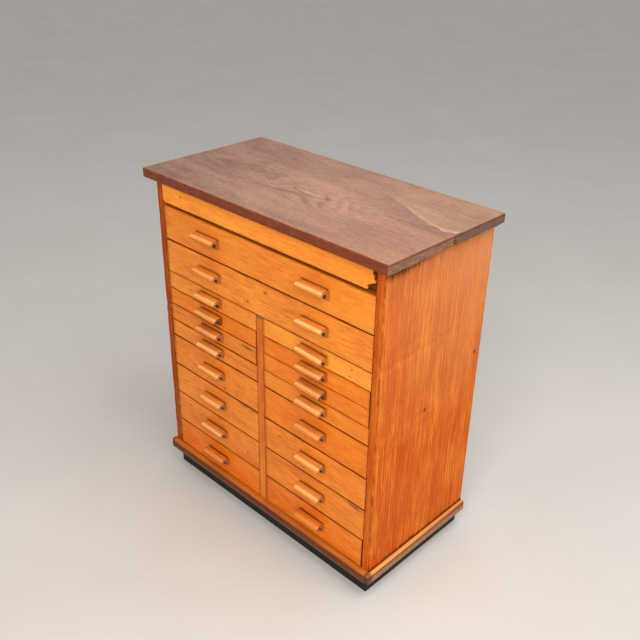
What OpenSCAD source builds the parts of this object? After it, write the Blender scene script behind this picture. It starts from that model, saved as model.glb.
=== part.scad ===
// Chest of eighteen drawers in varnished pine, with a dark hardwood top and a black plinth.
// The drawer fronts face -Y, X runs along the front and +Z is up. The origin lies on the floor,
// under the middle of the chest's outer box.

/* [Carcass] */
// Width over the outer faces of the two side panels
carcass_w = 656; // [600:1:760]
// Depth from the face of the drawer fronts to the back
carcass_d = 328; // [280:1:420]
// Thickness of each side panel
side_t = 18; // [15:0.5:24]
// Thickness of the centre divider between the two columns
divider_t = 18; // [15:0.5:24]
// Thickness of the back panel
back_t = 6; // [4:0.5:9]
// Width of the rebate that lets the back panel into each side panel
rebate_w = 9; // [6:0.5:12]
// Clearance round the edges of the back panel
back_gap = 0.5; // [0.2:0.1:1.5]
// Height of the apron board under the top
apron_h = 51; // [40:0.5:80]
// Thickness of the apron board and of the rear top rail
apron_t = 18; // [15:0.5:24]
// Width and height of each cleat under the top
cleat_w = 18; // [15:0.5:24]

/* [Top board] */
// Thickness of the top board
top_t = 22; // [15:0.5:28]
// Overhang of the top board past each side panel
top_side_over = 22; // [5:1:40]
// Overhang of the top board in front of the drawer fronts
top_front_over = 20; // [5:1:40]
// Radius of the top board's eased edges
top_ease_r = 4; // [1:0.5:6]

/* [Base] */
// Thickness of the base board
base_t = 24; // [18:0.5:34]
// Projection of the base board in front of the drawer fronts
base_front_over = 12; // [4:1:24]
// Projection of the base board past each side panel
base_side_over = 10; // [4:1:24]
// Plan radius of the base board's two front corners
base_corner_r = 5; // [3:0.5:20]
// Radius of the base board's upper edges
base_top_r = 4; // [2:0.5:8]
// Radius of the base board's lower edges
base_foot_r = 1; // [0.5:0.5:4]
// Height of the plinth
plinth_h = 45; // [25:1:80]
// Thickness of the plinth boards
plinth_t = 18; // [15:0.5:24]
// Distance of the plinth behind the drawer fronts
plinth_front_inset = 6; // [2:1:40]
// Distance of the plinth inside each side panel's outer face
plinth_side_inset = 9; // [2:1:40]

/* [Drawer fronts] */
// Thickness of the drawer fronts
front_t = 18; // [14:0.5:22]
// Height of the two full-width fronts
wide_h = 78; // [60:0.5:110]
// Height of the shallow fronts, the upper four of each column
shallow_h = 39.5; // [34:0.5:55]
// Height of the deep fronts, the next three of each column
deep_h = 79; // [60:0.5:110]
// Height of the lowest front of each column
bottom_h = 73; // [60:0.5:110]
// Gap between one front and the next above it
front_gap = 2; // [1:0.5:4]
// Gap at each end of a front
end_gap = 1; // [0.5:0.1:2]
// Gap between the base board and the lowest fronts
base_gap = 1; // [0.5:0.1:3]
// Gap between the upper full-width front and the apron
apron_gap = 6.5; // [2:0.5:10]

/* [Drawer boxes] */
// Thickness of the box sides and of the box back
box_t = 10; // [7:0.5:13]
// Thickness of the box bottom
bottom_t = 4; // [3:0.5:6]
// Clearance between a box and the carcass at each side
box_gap = 1.5; // [1:0.1:3]
// Distance of a box's rim below the upper edge of its front
rim_drop = 3; // [2:0.5:6]
// Clearance between a closed box and the back panel, which stops it
stop_gap = 0.5; // [0.3:0.1:2]
// Glue line between the boards of one drawer
glue_gap = 0.1; // [0.05:0.05:0.2]

/* [Runners] */
// Width of a runner, which is how far it stands out under a box
runner_w = 10; // [7:0.5:14]
// Height of a runner, and thickness of the dust board
runner_h = 6; // [5:0.5:9]
// Height of a runner's underside above the lower edge of its front
runner_lift = 1; // [0.5:0.1:2]
// Running clearance between a box and its runners
run_gap = 0.2; // [0.1:0.05:0.4]
// Distance of the runners behind the drawer fronts
runner_setback = 2; // [1:0.5:6]

/* [Pulls] */
// Length of a pull
pull_l = 72; // [50:1:100]
// Projection of a pull in front of its drawer front
pull_proj = 24; // [18:0.5:30]
// Height of a pull
pull_h = 19.5; // [17:0.5:28]
// Height of a pull's middle above the middle of its drawer front
pull_lift = 2; // [0:0.5:5]
// Thickness of a pull's back leg
pull_leg_t = 7; // [4:0.5:9]
// Thickness of a pull's front lip
pull_lip_t = 6; // [3:0.5:8]
// Height of the lip's lower edge above the foot of the back leg
pull_lip_rise = 9; // [4:0.5:10]
// Thickness of wood above the finger cove
pull_hood_t = 5; // [4:0.5:8]
// Length of the rounded nose, from where the top begins to fall to the tip
pull_nose_l = 15; // [6:0.5:16]

/* [Fasteners] */
// Shank radius of the wood screws
screw_r = 2; // [1.5:0.1:2.5]
// Head radius of the wood screws
screw_head_r = 3.6; // [3:0.1:4.5]
// Head height of the wood screws
screw_head_h = 2.4; // [1.5:0.1:3]
// Depth that a screw bites into the second piece of wood
screw_bite = 12; // [8:0.5:14]
// Shank radius of the nails
nail_r = 0.9; // [0.7:0.1:1.2]
// Head radius of the nails
nail_head_r = 2.2; // [1.8:0.1:3]
// Head height of the nails
nail_head_h = 0.8; // [0.6:0.1:1.2]
// Depth that a nail bites into the wood behind the back panel
nail_bite = 14; // [10:1:14]
// Screws along each cleat
cleat_screws = 3; // [2:1:5]
// Screws through the base board into each side panel and into the divider
panel_screws = 3; // [2:1:5]
// Nails down each side panel
side_nails = 5; // [3:1:8]
// Nails down the divider
divider_nails = 3; // [2:1:6]
// Nails along the rear top rail
rail_nails = 4; // [2:1:8]
// Distance of the outermost fasteners from the ends of their piece
end_margin = 40; // [20:1:60]
// Clearance between a fastener and its hole
hole_gap = 0.05; // [0.02:0.01:0.1]

/* [Hidden] */
$fn = 64;
cut = 1;
shallow_count = 4;
deep_count = 3;
wide_count = 2;
pine = "#ee8a36";
raw_pine = "#d9b27c";
walnut = "#7c5746";
stained_pine = "#8a5430";
black_paint = "#1e1e20";
plywood = "#c9a273";
steel = "#8d8d90";

// Depth: the chest's box is centred on the origin, from the foremost piece to the back
reach = max(top_front_over, pull_proj, base_front_over);
front_y = (reach - carcass_d) / 2;
back_y = front_y + carcass_d;
behind_fronts_y = front_y + front_t;
runner_y = behind_fronts_y + runner_setback;
back_panel_y = back_y - back_t;
box_end_y = back_panel_y - stop_gap;

// Width
outer_x = carcass_w / 2;
inner_x = outer_x - side_t;
column_w = inner_x - divider_t / 2;
column_x = divider_t / 2 + column_w / 2;

// Height, from the floor up
base_top = plinth_h + base_t;
column_h = concat(
    [for (i = [1:shallow_count]) shallow_h],
    [for (i = [1:deep_count]) deep_h],
    [bottom_h]
);
column_count = len(column_h);
function height_below(row) =
    row == column_count - 1 ? 0 : column_h[row + 1] + front_gap + height_below(row + 1);
function column_z(row) = base_top + base_gap + height_below(row);
column_top = column_z(0) + column_h[0];
function wide_z(row) = column_top + front_gap + (wide_count - 1 - row) * (wide_h + front_gap);
apron_z = wide_z(0) + wide_h + apron_gap;
top_z = apron_z + apron_h;
dust_z = wide_z(wide_count - 1) + runner_lift;
cleat_z = top_z - cleat_w;

// Pull
cove_r = (pull_proj - pull_leg_t - pull_lip_t) / 2;
cove_top = pull_h - pull_hood_t;
nose_h = pull_h - pull_lip_rise;

// Plinth
plinth_x = outer_x - plinth_side_inset;
plinth_y = front_y + plinth_front_inset;

// Places of the fasteners, spread evenly between the two ends of their piece
function spread(low, high, count) =
    [for (i = [0:count - 1]) low + end_margin + i * (high - low - 2 * end_margin) / (count - 1)];
cleat_y = [front_y + apron_t, back_panel_y - apron_t];
cleat_screw_y = spread(cleat_y[0], cleat_y[1], cleat_screws);
panel_screw_y = spread(front_y, back_panel_y, panel_screws);
panel_screw_x = [side_t / 2 - outer_x, 0, outer_x - side_t / 2];
side_nail_x = inner_x + rebate_w / 2;
side_nail_z = spread(base_top, top_z, side_nails);
divider_nail_z = spread(base_top, dust_z, divider_nails);
rail_nail_x = spread(-inner_x, inner_x, rail_nails);
rail_nail_z = apron_z + apron_h / 2;

row_names = [for (i = [1:column_count]) str(i)];
wide_names = [for (i = [1:wide_count]) str("wide_", i)];
sides = [["left", -1], ["right", 1]];

// A board between two opposite corners
module board(low, high) {
    translate(low) cube(high - low);
}

// A square outline with its corners rounded
module eased_square(size, r) {
    for (x = [r, size[0] - r]) for (y = [r, size[1] - r]) translate([x, y]) circle(r);
    translate([r, 0]) square([size[0] - 2 * r, size[1]]);
    translate([0, r]) square([size[0], size[1] - 2 * r]);
}

// A square outline with one radius at its upper corners and another at its lower ones
module nosed_square(size, top_r, foot_r) {
    intersection() {
        translate([0, -2 * top_r]) eased_square([size[0], size[1] + 2 * top_r], top_r);
        eased_square([size[0], size[1] + 2 * foot_r], foot_r);
    }
}

// A wood screw that points up, with its head at the origin
module wood_screw(length, gap = 0) {
    cylinder(r = screw_r + gap, h = length + gap);
    cylinder(r = screw_head_r + gap, h = screw_head_h + gap);
}

// A nail that points forwards, with its head flush with the back
module nail(gap = 0) {
    rotate([90, 0, 0]) {
        cylinder(r = nail_r + gap, h = back_t + nail_bite + gap);
        cylinder(r = nail_head_r + gap, h = nail_head_h + gap);
    }
}

// The same fastener shapes make the fasteners and, with a gap, their holes
module top_screw_shapes(gap = 0) {
    for (side = [-1, 1]) for (y = cleat_screw_y)
        translate([side * (inner_x - cleat_w / 2), y, cleat_z])
            wood_screw(cleat_w + screw_bite, gap);
}

module base_screw_shapes(gap = 0) {
    for (x = panel_screw_x) for (y = panel_screw_y)
        translate([x, y, plinth_h]) wood_screw(base_t + screw_bite, gap);
}

module back_nail_shapes(gap = 0) {
    for (side = [-1, 1]) for (z = side_nail_z) translate([side * side_nail_x, back_y, z]) nail(gap);
    for (z = divider_nail_z) translate([0, back_y, z]) nail(gap);
    for (x = rail_nail_x) translate([x, back_y, rail_nail_z]) nail(gap);
}

// Dark slab with eased edges, screwed on from below
module top_board() {
    w = carcass_w + 2 * top_side_over;
    d = carcass_d + top_front_over;
    color(walnut) difference() {
        translate([-w / 2, front_y - top_front_over, top_z]) intersection() {
            linear_extrude(top_t) eased_square([w, d], top_ease_r);
            translate([0, d, 0]) rotate([90, 0, 0])
                linear_extrude(d) eased_square([w, top_t], top_ease_r);
            rotate([90, 0, 90]) linear_extrude(w) eased_square([d, top_t], top_ease_r);
        }
        top_screw_shapes(hole_gap);
    }
}

// Side panel with a rebate for the back panel; side is -1 on the left and 1 on the right
module side_panel(side) {
    color(pine) difference() {
        translate([side > 0 ? inner_x : -outer_x, front_y, base_top])
            cube([side_t, carcass_d, top_z - base_top]);
        translate([side > 0 ? inner_x - cut : -inner_x - rebate_w, back_panel_y, base_top - cut])
            cube([rebate_w + cut, back_t + cut, top_z - base_top + 2 * cut]);
        back_nail_shapes(hole_gap);
        base_screw_shapes(hole_gap);
    }
}

// Divider between the columns, notched at its upper front corner to pass under the wide front
module centre_divider() {
    color(pine) difference() {
        board([-divider_t / 2, front_y, base_top], [divider_t / 2, back_panel_y, dust_z]);
        board([-divider_t / 2 - cut, front_y - cut, column_top],
              [divider_t / 2 + cut, runner_y, dust_z + cut]);
        back_nail_shapes(hole_gap);
        base_screw_shapes(hole_gap);
    }
}

// Thin board that the lower full-width drawer runs on
module dust_board() {
    color(plywood) board([-inner_x, runner_y, dust_z], [inner_x, back_panel_y, dust_z + runner_h]);
}

// Fixed board under the front of the top
module apron() {
    color(pine) board([-inner_x, front_y, apron_z], [inner_x, front_y + apron_t, top_z]);
}

// Rail under the back of the top
module back_rail() {
    color(raw_pine) difference() {
        board([-inner_x, back_panel_y - apron_t, apron_z], [inner_x, back_panel_y, top_z]);
        back_nail_shapes(hole_gap);
    }
}

// Thin panel nailed into the rebates
module back_panel() {
    x = inner_x + rebate_w - back_gap;
    color(plywood) difference() {
        board([-x, back_panel_y, base_top + back_gap], [x, back_y, top_z - back_gap]);
        back_nail_shapes(hole_gap);
    }
}

// Base board: square at the back, round corners in front and rounded edges on three sides
module base_board() {
    w = carcass_w + 2 * base_side_over;
    d = carcass_d + base_front_over;
    color(stained_pine) difference() {
        translate([-w / 2, front_y - base_front_over, plinth_h]) intersection() {
            linear_extrude(base_t) intersection() {
                eased_square([w, d + 2 * base_corner_r], base_corner_r);
                square([w, d]);
            }
            translate([0, d, 0]) rotate([90, 0, 0])
                linear_extrude(d) nosed_square([w, base_t], base_top_r, base_foot_r);
            rotate([90, 0, 90]) linear_extrude(w) intersection() {
                nosed_square([d + 2 * base_top_r, base_t], base_top_r, base_foot_r);
                square([d, base_t]);
            }
        }
        base_screw_shapes(hole_gap);
    }
}

// Plinth boards: the front and back boards run past the ends of the side boards
module plinth_cross_board(y) {
    color(black_paint) translate([-plinth_x, y, 0]) cube([2 * plinth_x, plinth_t, plinth_h]);
}

module plinth_side_board(side) {
    x = side > 0 ? plinth_x - plinth_t : -plinth_x;
    color(black_paint) translate([x, plinth_y + plinth_t, 0])
        cube([plinth_t, back_y - plinth_y - 2 * plinth_t, plinth_h]);
}

// Two battens that take the screws of the top
module top_cleats() {
    color(raw_pine) difference() {
        for (x = [-inner_x, inner_x - cleat_w])
            board([x, cleat_y[0], cleat_z], [x + cleat_w, cleat_y[1], top_z]);
        top_screw_shapes(hole_gap);
    }
}

// One runner strip for the front whose lower edge is at z, against a wall at x, towards side
module runner(x, side, z) {
    translate([side > 0 ? x : x - runner_w, runner_y, z + runner_lift])
        cube([runner_w, back_panel_y - runner_y, runner_h]);
}

// The runners on one face: those of a column and, on a side panel, that of the upper wide drawer
module runners(x, side, takes_wide) {
    color(raw_pine) {
        for (row = [0:column_count - 1]) runner(x, side, column_z(row));
        if (takes_wide) for (row = [0:wide_count - 2]) runner(x, side, wide_z(row));
    }
}

// A drawer's front and box, for an opening centred on x
module drawer(x, opening_w, z, h) {
    front_half = opening_w / 2 - end_gap;
    box_half = opening_w / 2 - box_gap;
    box_y = behind_fronts_y + glue_gap;
    box_z = z + runner_lift + runner_h + run_gap;
    wall_z = box_z + bottom_t + glue_gap;
    rim_z = z + h - rim_drop;
    color(pine) board([x - front_half, front_y, z], [x + front_half, behind_fronts_y, z + h]);
    color(raw_pine) {
        board([x - box_half, box_y, wall_z], [x - box_half + box_t, box_end_y, rim_z]);
        board([x + box_half - box_t, box_y, wall_z], [x + box_half, box_end_y, rim_z]);
        board([x - box_half + box_t + glue_gap, box_end_y - box_t, wall_z],
              [x + box_half - box_t - glue_gap, box_end_y, rim_z]);
    }
    color(plywood) board([x - box_half, box_y, box_z], [x + box_half, box_end_y, box_z + bottom_t]);
}

module column_drawer(side, row) {
    drawer(side * column_x, column_w, column_z(row), column_h[row]);
}

module wide_drawer(row) {
    drawer(0, 2 * inner_x, wide_z(row), wide_h);
}

// Outline of a pull: a leg against the front, a hood with a round nose, and a cove for the fingers
module pull_outline() {
    difference() {
        union() {
            translate([-pull_leg_t, 0]) square([pull_leg_t, pull_h]);
            translate([pull_nose_l - pull_proj, pull_lip_rise])
                square([pull_proj - pull_nose_l, nose_h]);
            translate([pull_nose_l - pull_proj, pull_lip_rise]) intersection() {
                scale([pull_nose_l, nose_h]) circle(1);
                translate([-pull_nose_l, 0]) square([pull_nose_l, nose_h]);
            }
        }
        translate([-pull_leg_t - cove_r, cove_top - cove_r]) circle(cove_r);
        translate([-pull_leg_t - 2 * cove_r, -cut]) square([2 * cove_r, cove_top - cove_r + cut]);
    }
}

// A pull on a front whose middle is at x, z
module pull(x, z) {
    color(pine) translate([x - pull_l / 2, front_y, z + pull_lift - pull_h / 2])
        rotate([90, 0, 90]) linear_extrude(pull_l) pull_outline();
}

top_board();
side_panel(-1);  // left_side_panel
side_panel(1);  // right_side_panel
centre_divider();
dust_board();
apron();
back_rail();
back_panel();
base_board();
plinth_cross_board(plinth_y);  // plinth_front
plinth_cross_board(back_y - plinth_t);  // plinth_back
plinth_side_board(-1);  // plinth_left
plinth_side_board(1);  // plinth_right
top_cleats();
runners(-inner_x, 1, true);  // left_runners
runners(-divider_t / 2, -1, false);  // divider_left_runners
runners(divider_t / 2, 1, false);  // divider_right_runners
runners(inner_x, -1, true);  // right_runners
color(steel) top_screw_shapes();  // top_screws
color(steel) base_screw_shapes();  // base_screws
color(steel) back_nail_shapes();  // back_nails
for (row = [0:wide_count - 1]) {
    wide_drawer(row);
    for (s = sides)
        pull(s[1] * column_x, wide_z(row) + wide_h / 2);
}
for (s = sides) for (row = [0:column_count - 1]) {
    column_drawer(s[1], row);
    pull(s[1] * column_x, column_z(row) + column_h[row] / 2);
}
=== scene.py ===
# %% [markdown]
# # A chest of eighteen drawers in varnished pine
# The chest is a plain carpenter's cabinet: pine boards under an amber varnish, a dark hardwood
# slab on top, a brown base board and a black plinth. The solids give the sizes and the places,
# and this lesson dresses them: every board becomes a bevelled mesh with its own piece of a log
# in it, so that no two boards show the same grain. All lengths are in metres.

# %% Load the frame
import math
import random
import bmesh
import bpy
from mathutils import Matrix, Vector, noise


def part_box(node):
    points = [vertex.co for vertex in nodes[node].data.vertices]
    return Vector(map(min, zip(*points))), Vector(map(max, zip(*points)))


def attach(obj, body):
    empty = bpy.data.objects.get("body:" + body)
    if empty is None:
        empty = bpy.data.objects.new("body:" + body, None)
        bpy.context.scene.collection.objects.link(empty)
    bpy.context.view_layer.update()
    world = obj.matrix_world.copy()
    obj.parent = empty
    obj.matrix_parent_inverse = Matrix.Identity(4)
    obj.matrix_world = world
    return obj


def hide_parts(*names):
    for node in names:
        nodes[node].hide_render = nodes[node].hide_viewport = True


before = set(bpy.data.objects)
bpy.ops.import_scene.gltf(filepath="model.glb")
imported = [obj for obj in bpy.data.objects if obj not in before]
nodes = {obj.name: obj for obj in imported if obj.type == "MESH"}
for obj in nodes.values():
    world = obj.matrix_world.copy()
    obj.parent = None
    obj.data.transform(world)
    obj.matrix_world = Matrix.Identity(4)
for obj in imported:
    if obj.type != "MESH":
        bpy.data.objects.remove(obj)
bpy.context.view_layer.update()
MM = 0.001
print("pieces in the frame:", len(nodes))

# %% [markdown]
# ## The camera
# The photograph was taken from about head height, in front of the right corner, with a slight
# tilt. A camera is described by where it stands and by three axes: right, up and back. Turning
# an azimuth, an elevation and a roll into those axes by hand keeps the view exact, where a
# constraint that only points the camera would lose the roll.

# %% Camera at the photograph's view
CAMERA_PLACE = Vector((1126.2, -1139.7, 1362.0)) * MM
AZIMUTH = math.radians(43.93)
ELEVATION = math.radians(28.65)
ROLL = math.radians(1.03)
SENSOR_MM = 36.0
FRAME_PX = 640
FOCAL_PX = 823.34

back = Vector((
    math.sin(AZIMUTH) * math.cos(ELEVATION),
    -math.cos(AZIMUTH) * math.cos(ELEVATION),
    math.sin(ELEVATION),
))
level_right = Vector((0, 0, 1)).cross(back).normalized()
level_up = back.cross(level_right)
right = math.cos(ROLL) * level_right + math.sin(ROLL) * level_up
up = math.cos(ROLL) * level_up - math.sin(ROLL) * level_right
lens = bpy.data.cameras.new("photo_camera")
lens.sensor_width = SENSOR_MM
lens.lens = FOCAL_PX * SENSOR_MM / FRAME_PX
camera = bpy.data.objects.new("photo_camera", lens)
camera.matrix_world = Matrix.Translation(CAMERA_PLACE) @ Matrix((right, up, back)).transposed().to_4x4()
bpy.context.scene.collection.objects.link(camera)
bpy.context.scene.camera = camera
print("lens in millimetres:", round(lens.lens, 2))

# %% [markdown]
# ## Small helpers for materials
# Colours are picked as sRGB hex values, as a painter would note them, and Blender wants linear
# light, so one function converts. Another adds a shader node, sets it and links it. A pattern's
# scale is the inverse of a real size, so a third turns millimetres into a noise scale.


# %% Colour, node and scale helpers
def linear(hex_colour):
    """An sRGB colour such as #ee8a36 as linear RGBA."""
    channels = [int(hex_colour[i:i + 2], 16) / 255 for i in (1, 3, 5)]
    light = [c / 12.92 if c <= 0.04045 else ((c + 0.055) / 1.055) ** 2.4 for c in channels]
    return (*light, 1.0)


def add(tree, kind, inputs=None, out=0, **settings):
    """Add a node, set it, link or set its inputs, and return one of its outputs."""
    node = tree.nodes.new("ShaderNode" + kind)
    for name, value in settings.items():
        setattr(node, name, value)
    for socket, value in (inputs or {}).items():
        if isinstance(value, bpy.types.NodeSocket):
            tree.links.new(value, node.inputs[socket])
        else:
            node.inputs[socket].default_value = value
    return node.outputs[out] if node.outputs else node


def per_mm(*sizes):
    """Scale of a pattern whose features are these sizes in millimetres; 0 leaves an axis out."""
    return tuple(1 / (size * MM) if size else 0.0 for size in sizes)


def start_material(name):
    """An empty material and its node tree."""
    material = bpy.data.materials.new(name)
    material.use_nodes = True
    material.node_tree.nodes.clear()
    return material, material.node_tree


# %% [markdown]
# ## Floor and light
# A pale floor without a pattern and soft light keep the eye on the chest. The photograph was
# taken in a white room under broad, high lights, so most of the light here comes from a pale
# world, and three large soft boxes give the faces their different weights. The floor is wide
# enough to fill the frame.

# %% Floor, lights and world
FLOOR_SIZE = 40.0
floor_mesh = bpy.data.meshes.new("floor")
floor_bm = bmesh.new()
bmesh.ops.create_grid(floor_bm, x_segments=1, y_segments=1, size=FLOOR_SIZE / 2)
floor_bm.to_mesh(floor_mesh)
floor_bm.free()
floor = bpy.data.objects.new("floor", floor_mesh)
bpy.context.scene.collection.objects.link(floor)
floor_material, tree = start_material("pale sealed concrete")
cloud = add(tree, "TexNoise", {"Vector": add(tree, "TexCoord", out="Object"), "Scale": 3.0, "Detail": 4.0})
tint = add(
    tree, "Mix", {0: cloud, 6: linear("#c4bfb8"), 7: linear("#cfcac4")},
    out=2, data_type="RGBA",
)
surface = add(tree, "BsdfPrincipled", {"Base Color": tint, "Roughness": 0.75})
add(tree, "OutputMaterial", {"Surface": surface})
floor.data.materials.append(floor_material)


def softbox(name, place, aim, size, watts, colour):
    """A square area light that looks at a point."""
    lamp = bpy.data.lights.new(name, "AREA")
    lamp.size = size
    lamp.energy = watts
    lamp.color = linear(colour)[:3]
    holder = bpy.data.objects.new(name, lamp)
    holder.location = place
    holder.rotation_euler = (Vector(aim) - Vector(place)).to_track_quat("-Z", "Y").to_euler()
    bpy.context.scene.collection.objects.link(holder)


softbox("key_light", (1.3, -1.9, 2.0), (0.1, 0, 0.45), 1.4, 48, "#fffaf4")
softbox("right_light", (2.6, -0.6, 2.0), (0.2, 0, 0.45), 1.8, 13, "#fafbff")
softbox("ceiling_light", (1.1, 0.1, 2.5), (0, 0, 0), 1.6, 30, "#ffffff")
world = bpy.data.worlds.new("white_room")
world.use_nodes = True
world.node_tree.nodes["Background"].inputs["Color"].default_value = linear("#f5f6f7")
world.node_tree.nodes["Background"].inputs["Strength"].default_value = 0.62
bpy.context.scene.world = world
bpy.context.scene.view_settings.view_transform = "Standard"
print("lights:", [lamp.name for lamp in bpy.data.lights])

# %% [markdown]
# ## A board and the log it came from
# Every piece of this chest but the steel is sawn wood. A shader that knows where each point of
# a board lay in its tree shows rings, streaks and end grain on every face without any painting.
# So each vertex carries a few vectors: its place in the log, its place in the board, the board's
# half sizes, its grain and face directions, and some notes on colour, wear, painted shade and
# painted highlights. They are written once, when the board is made, and the materials read them
# as attributes.

# %% What a board carries
BOARD_NOTES = (
    "wood", "place", "half", "grain", "face", "tone", "wear_and_shade", "touch_and_light", "grip",
    "knot_a", "knot_b", "scuff", "fringe", "fade",
)
FAR_AWAY = Vector((9, 9, 9))
dice = random.Random(18)


def unit(axis):
    """The direction of one row axis."""
    return Vector([float(axis == i) for i in range(3)])


def sawn(axes, pith=(60, 0), lean=(0, 0), fine=1.0, **notes):
    """How a board was cut from its log, and what its surface has been through.
    axes names the row axes along the grain, through the face and across the grain. pith is the
    distance to the heart of the log, in millimetres, through and across. lean tilts the heart."""
    cut = dict(axes=axes, pith=pith, lean=lean, fine=fine, start=dice.uniform(1, 9))
    cut.update(red=0.3, light=1.0, figure=0.5, grime=0.5, ledge=0.0, edge=0.5, knot_r=3.0)
    cut.update(grip=None, knots=(), scuff=None, fringe=(0, 0, 0), fade=(0, 0))
    cut.update(notes)
    return cut


def stamp(bm, verts, low, high, cut):
    """Write the notes of one board into its vertices."""
    order = ["XYZ".index(letter) for letter in cut["axes"]]
    centre = (low + high) / 2

    def in_log(point):
        along, through, across = ((point - centre)[axis] for axis in order)
        deep = through + cut["pith"][0] * MM + cut["lean"][0] * along
        wide = across + cut["pith"][1] * MM + cut["lean"][1] * along
        return Vector((along + cut["start"], deep * cut["fine"], wide * cut["fine"]))

    knots = [in_log(Vector(k) * MM) for k in cut["knots"]] + [FAR_AWAY, FAR_AWAY]
    top_fringe, foot_fringe, fringe_end = (length * MM for length in cut["fringe"])
    same = {
        "half": (high - low) / 2,
        "grain": unit(order[0]),
        "face": unit(order[1]),
        "tone": Vector((cut["red"], cut["light"], cut["figure"])),
        "wear_and_shade": Vector((cut["grime"], cut["ledge"], cut["edge"])),
        "touch_and_light": Vector((0, 0, cut["knot_r"] * MM)),
        "grip": Vector((cut["grip"], 1, 0)) if cut["grip"] is not None else Vector((0, 0, 0)),
        "knot_a": knots[0],
        "knot_b": knots[1],
        "scuff": in_log(Vector(cut["scuff"]) * MM) if cut["scuff"] else FAR_AWAY,
        "fringe": Vector((top_fringe, foot_fringe, fringe_end - centre.y)),
        "fade": Vector((*cut["fade"], 0)),
    }
    layers = bm.verts.layers.float_vector
    for vert in verts:
        vert[layers["wood"]] = in_log(vert.co)
        vert[layers["place"]] = vert.co - centre
        for note, value in same.items():
            vert[layers[note]] = value


print("notes on every board:", ", ".join(BOARD_NOTES))

# %% [markdown]
# ## From a bmesh to a piece
# A board starts as a cube or as a flat outline that is swept straight. Its edges are rounded by
# a bevel, because a sharp edge never catches light. Old boards also have worn edges, so a mesh
# can be cut across at even steps, and the new points along its edges are then pushed in a little.


# %% Boards, eased edges and wear
def workpiece():
    """An empty bmesh that is ready to carry the notes."""
    bm = bmesh.new()
    for note in BOARD_NOTES:
        bm.verts.layers.float_vector.new(note)
    return bm


def block(bm, low, high):
    """Add a plain block between two corners and return its vertices."""
    verts = bmesh.ops.create_cube(bm, size=1)["verts"]
    bmesh.ops.scale(bm, vec=high - low, verts=verts)
    bmesh.ops.translate(bm, vec=(low + high) / 2, verts=verts)
    return verts


def ease(bm, edges, radius, segments=2):
    """Round some edges and let light run over them smoothly."""
    made = bmesh.ops.bevel(
        bm, geom=edges, offset=radius, affect="EDGES", segments=segments, profile=0.5, material=-1,
    )
    for face in made["faces"]:
        face.smooth = True


def crosscut(bm, axis, places):
    """Cut the whole mesh across one axis at some places, so that its edges can be shaped there."""
    for place in places:
        everything = bm.verts[:] + bm.edges[:] + bm.faces[:]
        bmesh.ops.bisect_plane(bm, geom=everything, plane_co=unit(axis) * place, plane_no=unit(axis))


def steps(start, stop, size):
    """Even places between two ends, without the ends."""
    count = max(2, round((stop - start) / size))
    return [start + (stop - start) * i / count for i in range(1, count)]


def worn(point, size, seed):
    """0 where an edge is sound and up to 1 where it is worn, changing over a size."""
    return max(0.0, min(1.0, 1.8 * noise.noise(point / size + Vector((seed, 0, seed)))))


def board(bm, low, high, cut, radius=0.8 * MM, segments=2):
    """Add one plain board between two corners, with its edges eased."""
    others = set(bm.verts)
    verts = block(bm, low, high)
    ease(bm, list({edge for vert in verts for edge in vert.link_edges}), radius, segments)
    stamp(bm, [vert for vert in bm.verts if vert not in others], low, high, cut)


def swept(bm, outline, travel, radius=0.8 * MM, segments=2):
    """Sweep a flat outline straight along a vector and ease its edges; returns its two corners."""
    face = bm.faces.new([bm.verts.new(point) for point in outline])
    grown = bmesh.ops.extrude_face_region(bm, geom=[face])["geom"]
    bmesh.ops.translate(bm, vec=travel, verts=[g for g in grown if isinstance(g, bmesh.types.BMVert)])
    bmesh.ops.recalc_face_normals(bm, faces=bm.faces)
    ease(bm, bm.edges[:], radius, segments)
    low = Vector([min(vert.co[axis] for vert in bm.verts) for axis in range(3)])
    high = Vector([max(vert.co[axis] for vert in bm.verts) for axis in range(3)])
    return low, high


def piece(bm, name, material, body, slot, *replaced):
    """Turn a finished bmesh into an object that rides on a body and stands for some solids."""
    mesh = bpy.data.meshes.new(name)
    bm.to_mesh(mesh)
    bm.free()
    made = bpy.data.objects.new(name, mesh)
    bpy.context.scene.collection.objects.link(made)
    mesh.materials.append(material)
    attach(made, body)
    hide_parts(*replaced)


print("helpers are ready")

# %% [markdown]
# ## Wood, as a material
# Pine grows a pale soft layer in spring and a narrow dark one in summer. Sawn through, these
# rings are lines on a board's face and arcs on its end. The shader measures how far a point lay
# from the heart of its log, lets that distance drift as a real trunk does, and cuts it into
# rings. Noise that is long along the grain gives the fibres, bands and clouds of colour.


# %% Patterns that follow the log
def board_notes(tree):
    """The notes of a board as sockets, with the normal of the surface."""
    notes = {note: add(tree, "Attribute", out="Vector", attribute_name=note) for note in BOARD_NOTES}
    notes["normal"] = add(tree, "NewGeometry", out="Normal")
    return notes


def grain_noise(tree, wood, along_mm, across_mm, low=0.3, high=0.7, detail=3.0):
    """Noise drawn out along the grain, with its values from low to high spread to 0 to 1."""
    scaled = add(tree, "VectorMath", {0: wood, 1: per_mm(along_mm, across_mm, across_mm)}, operation="MULTIPLY")
    value = add(tree, "TexNoise", {"Vector": scaled, "Scale": 1.0, "Detail": detail, "Roughness": 0.6})
    return add(tree, "MapRange", {"Value": value, "From Min": low, "From Max": high})


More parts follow.
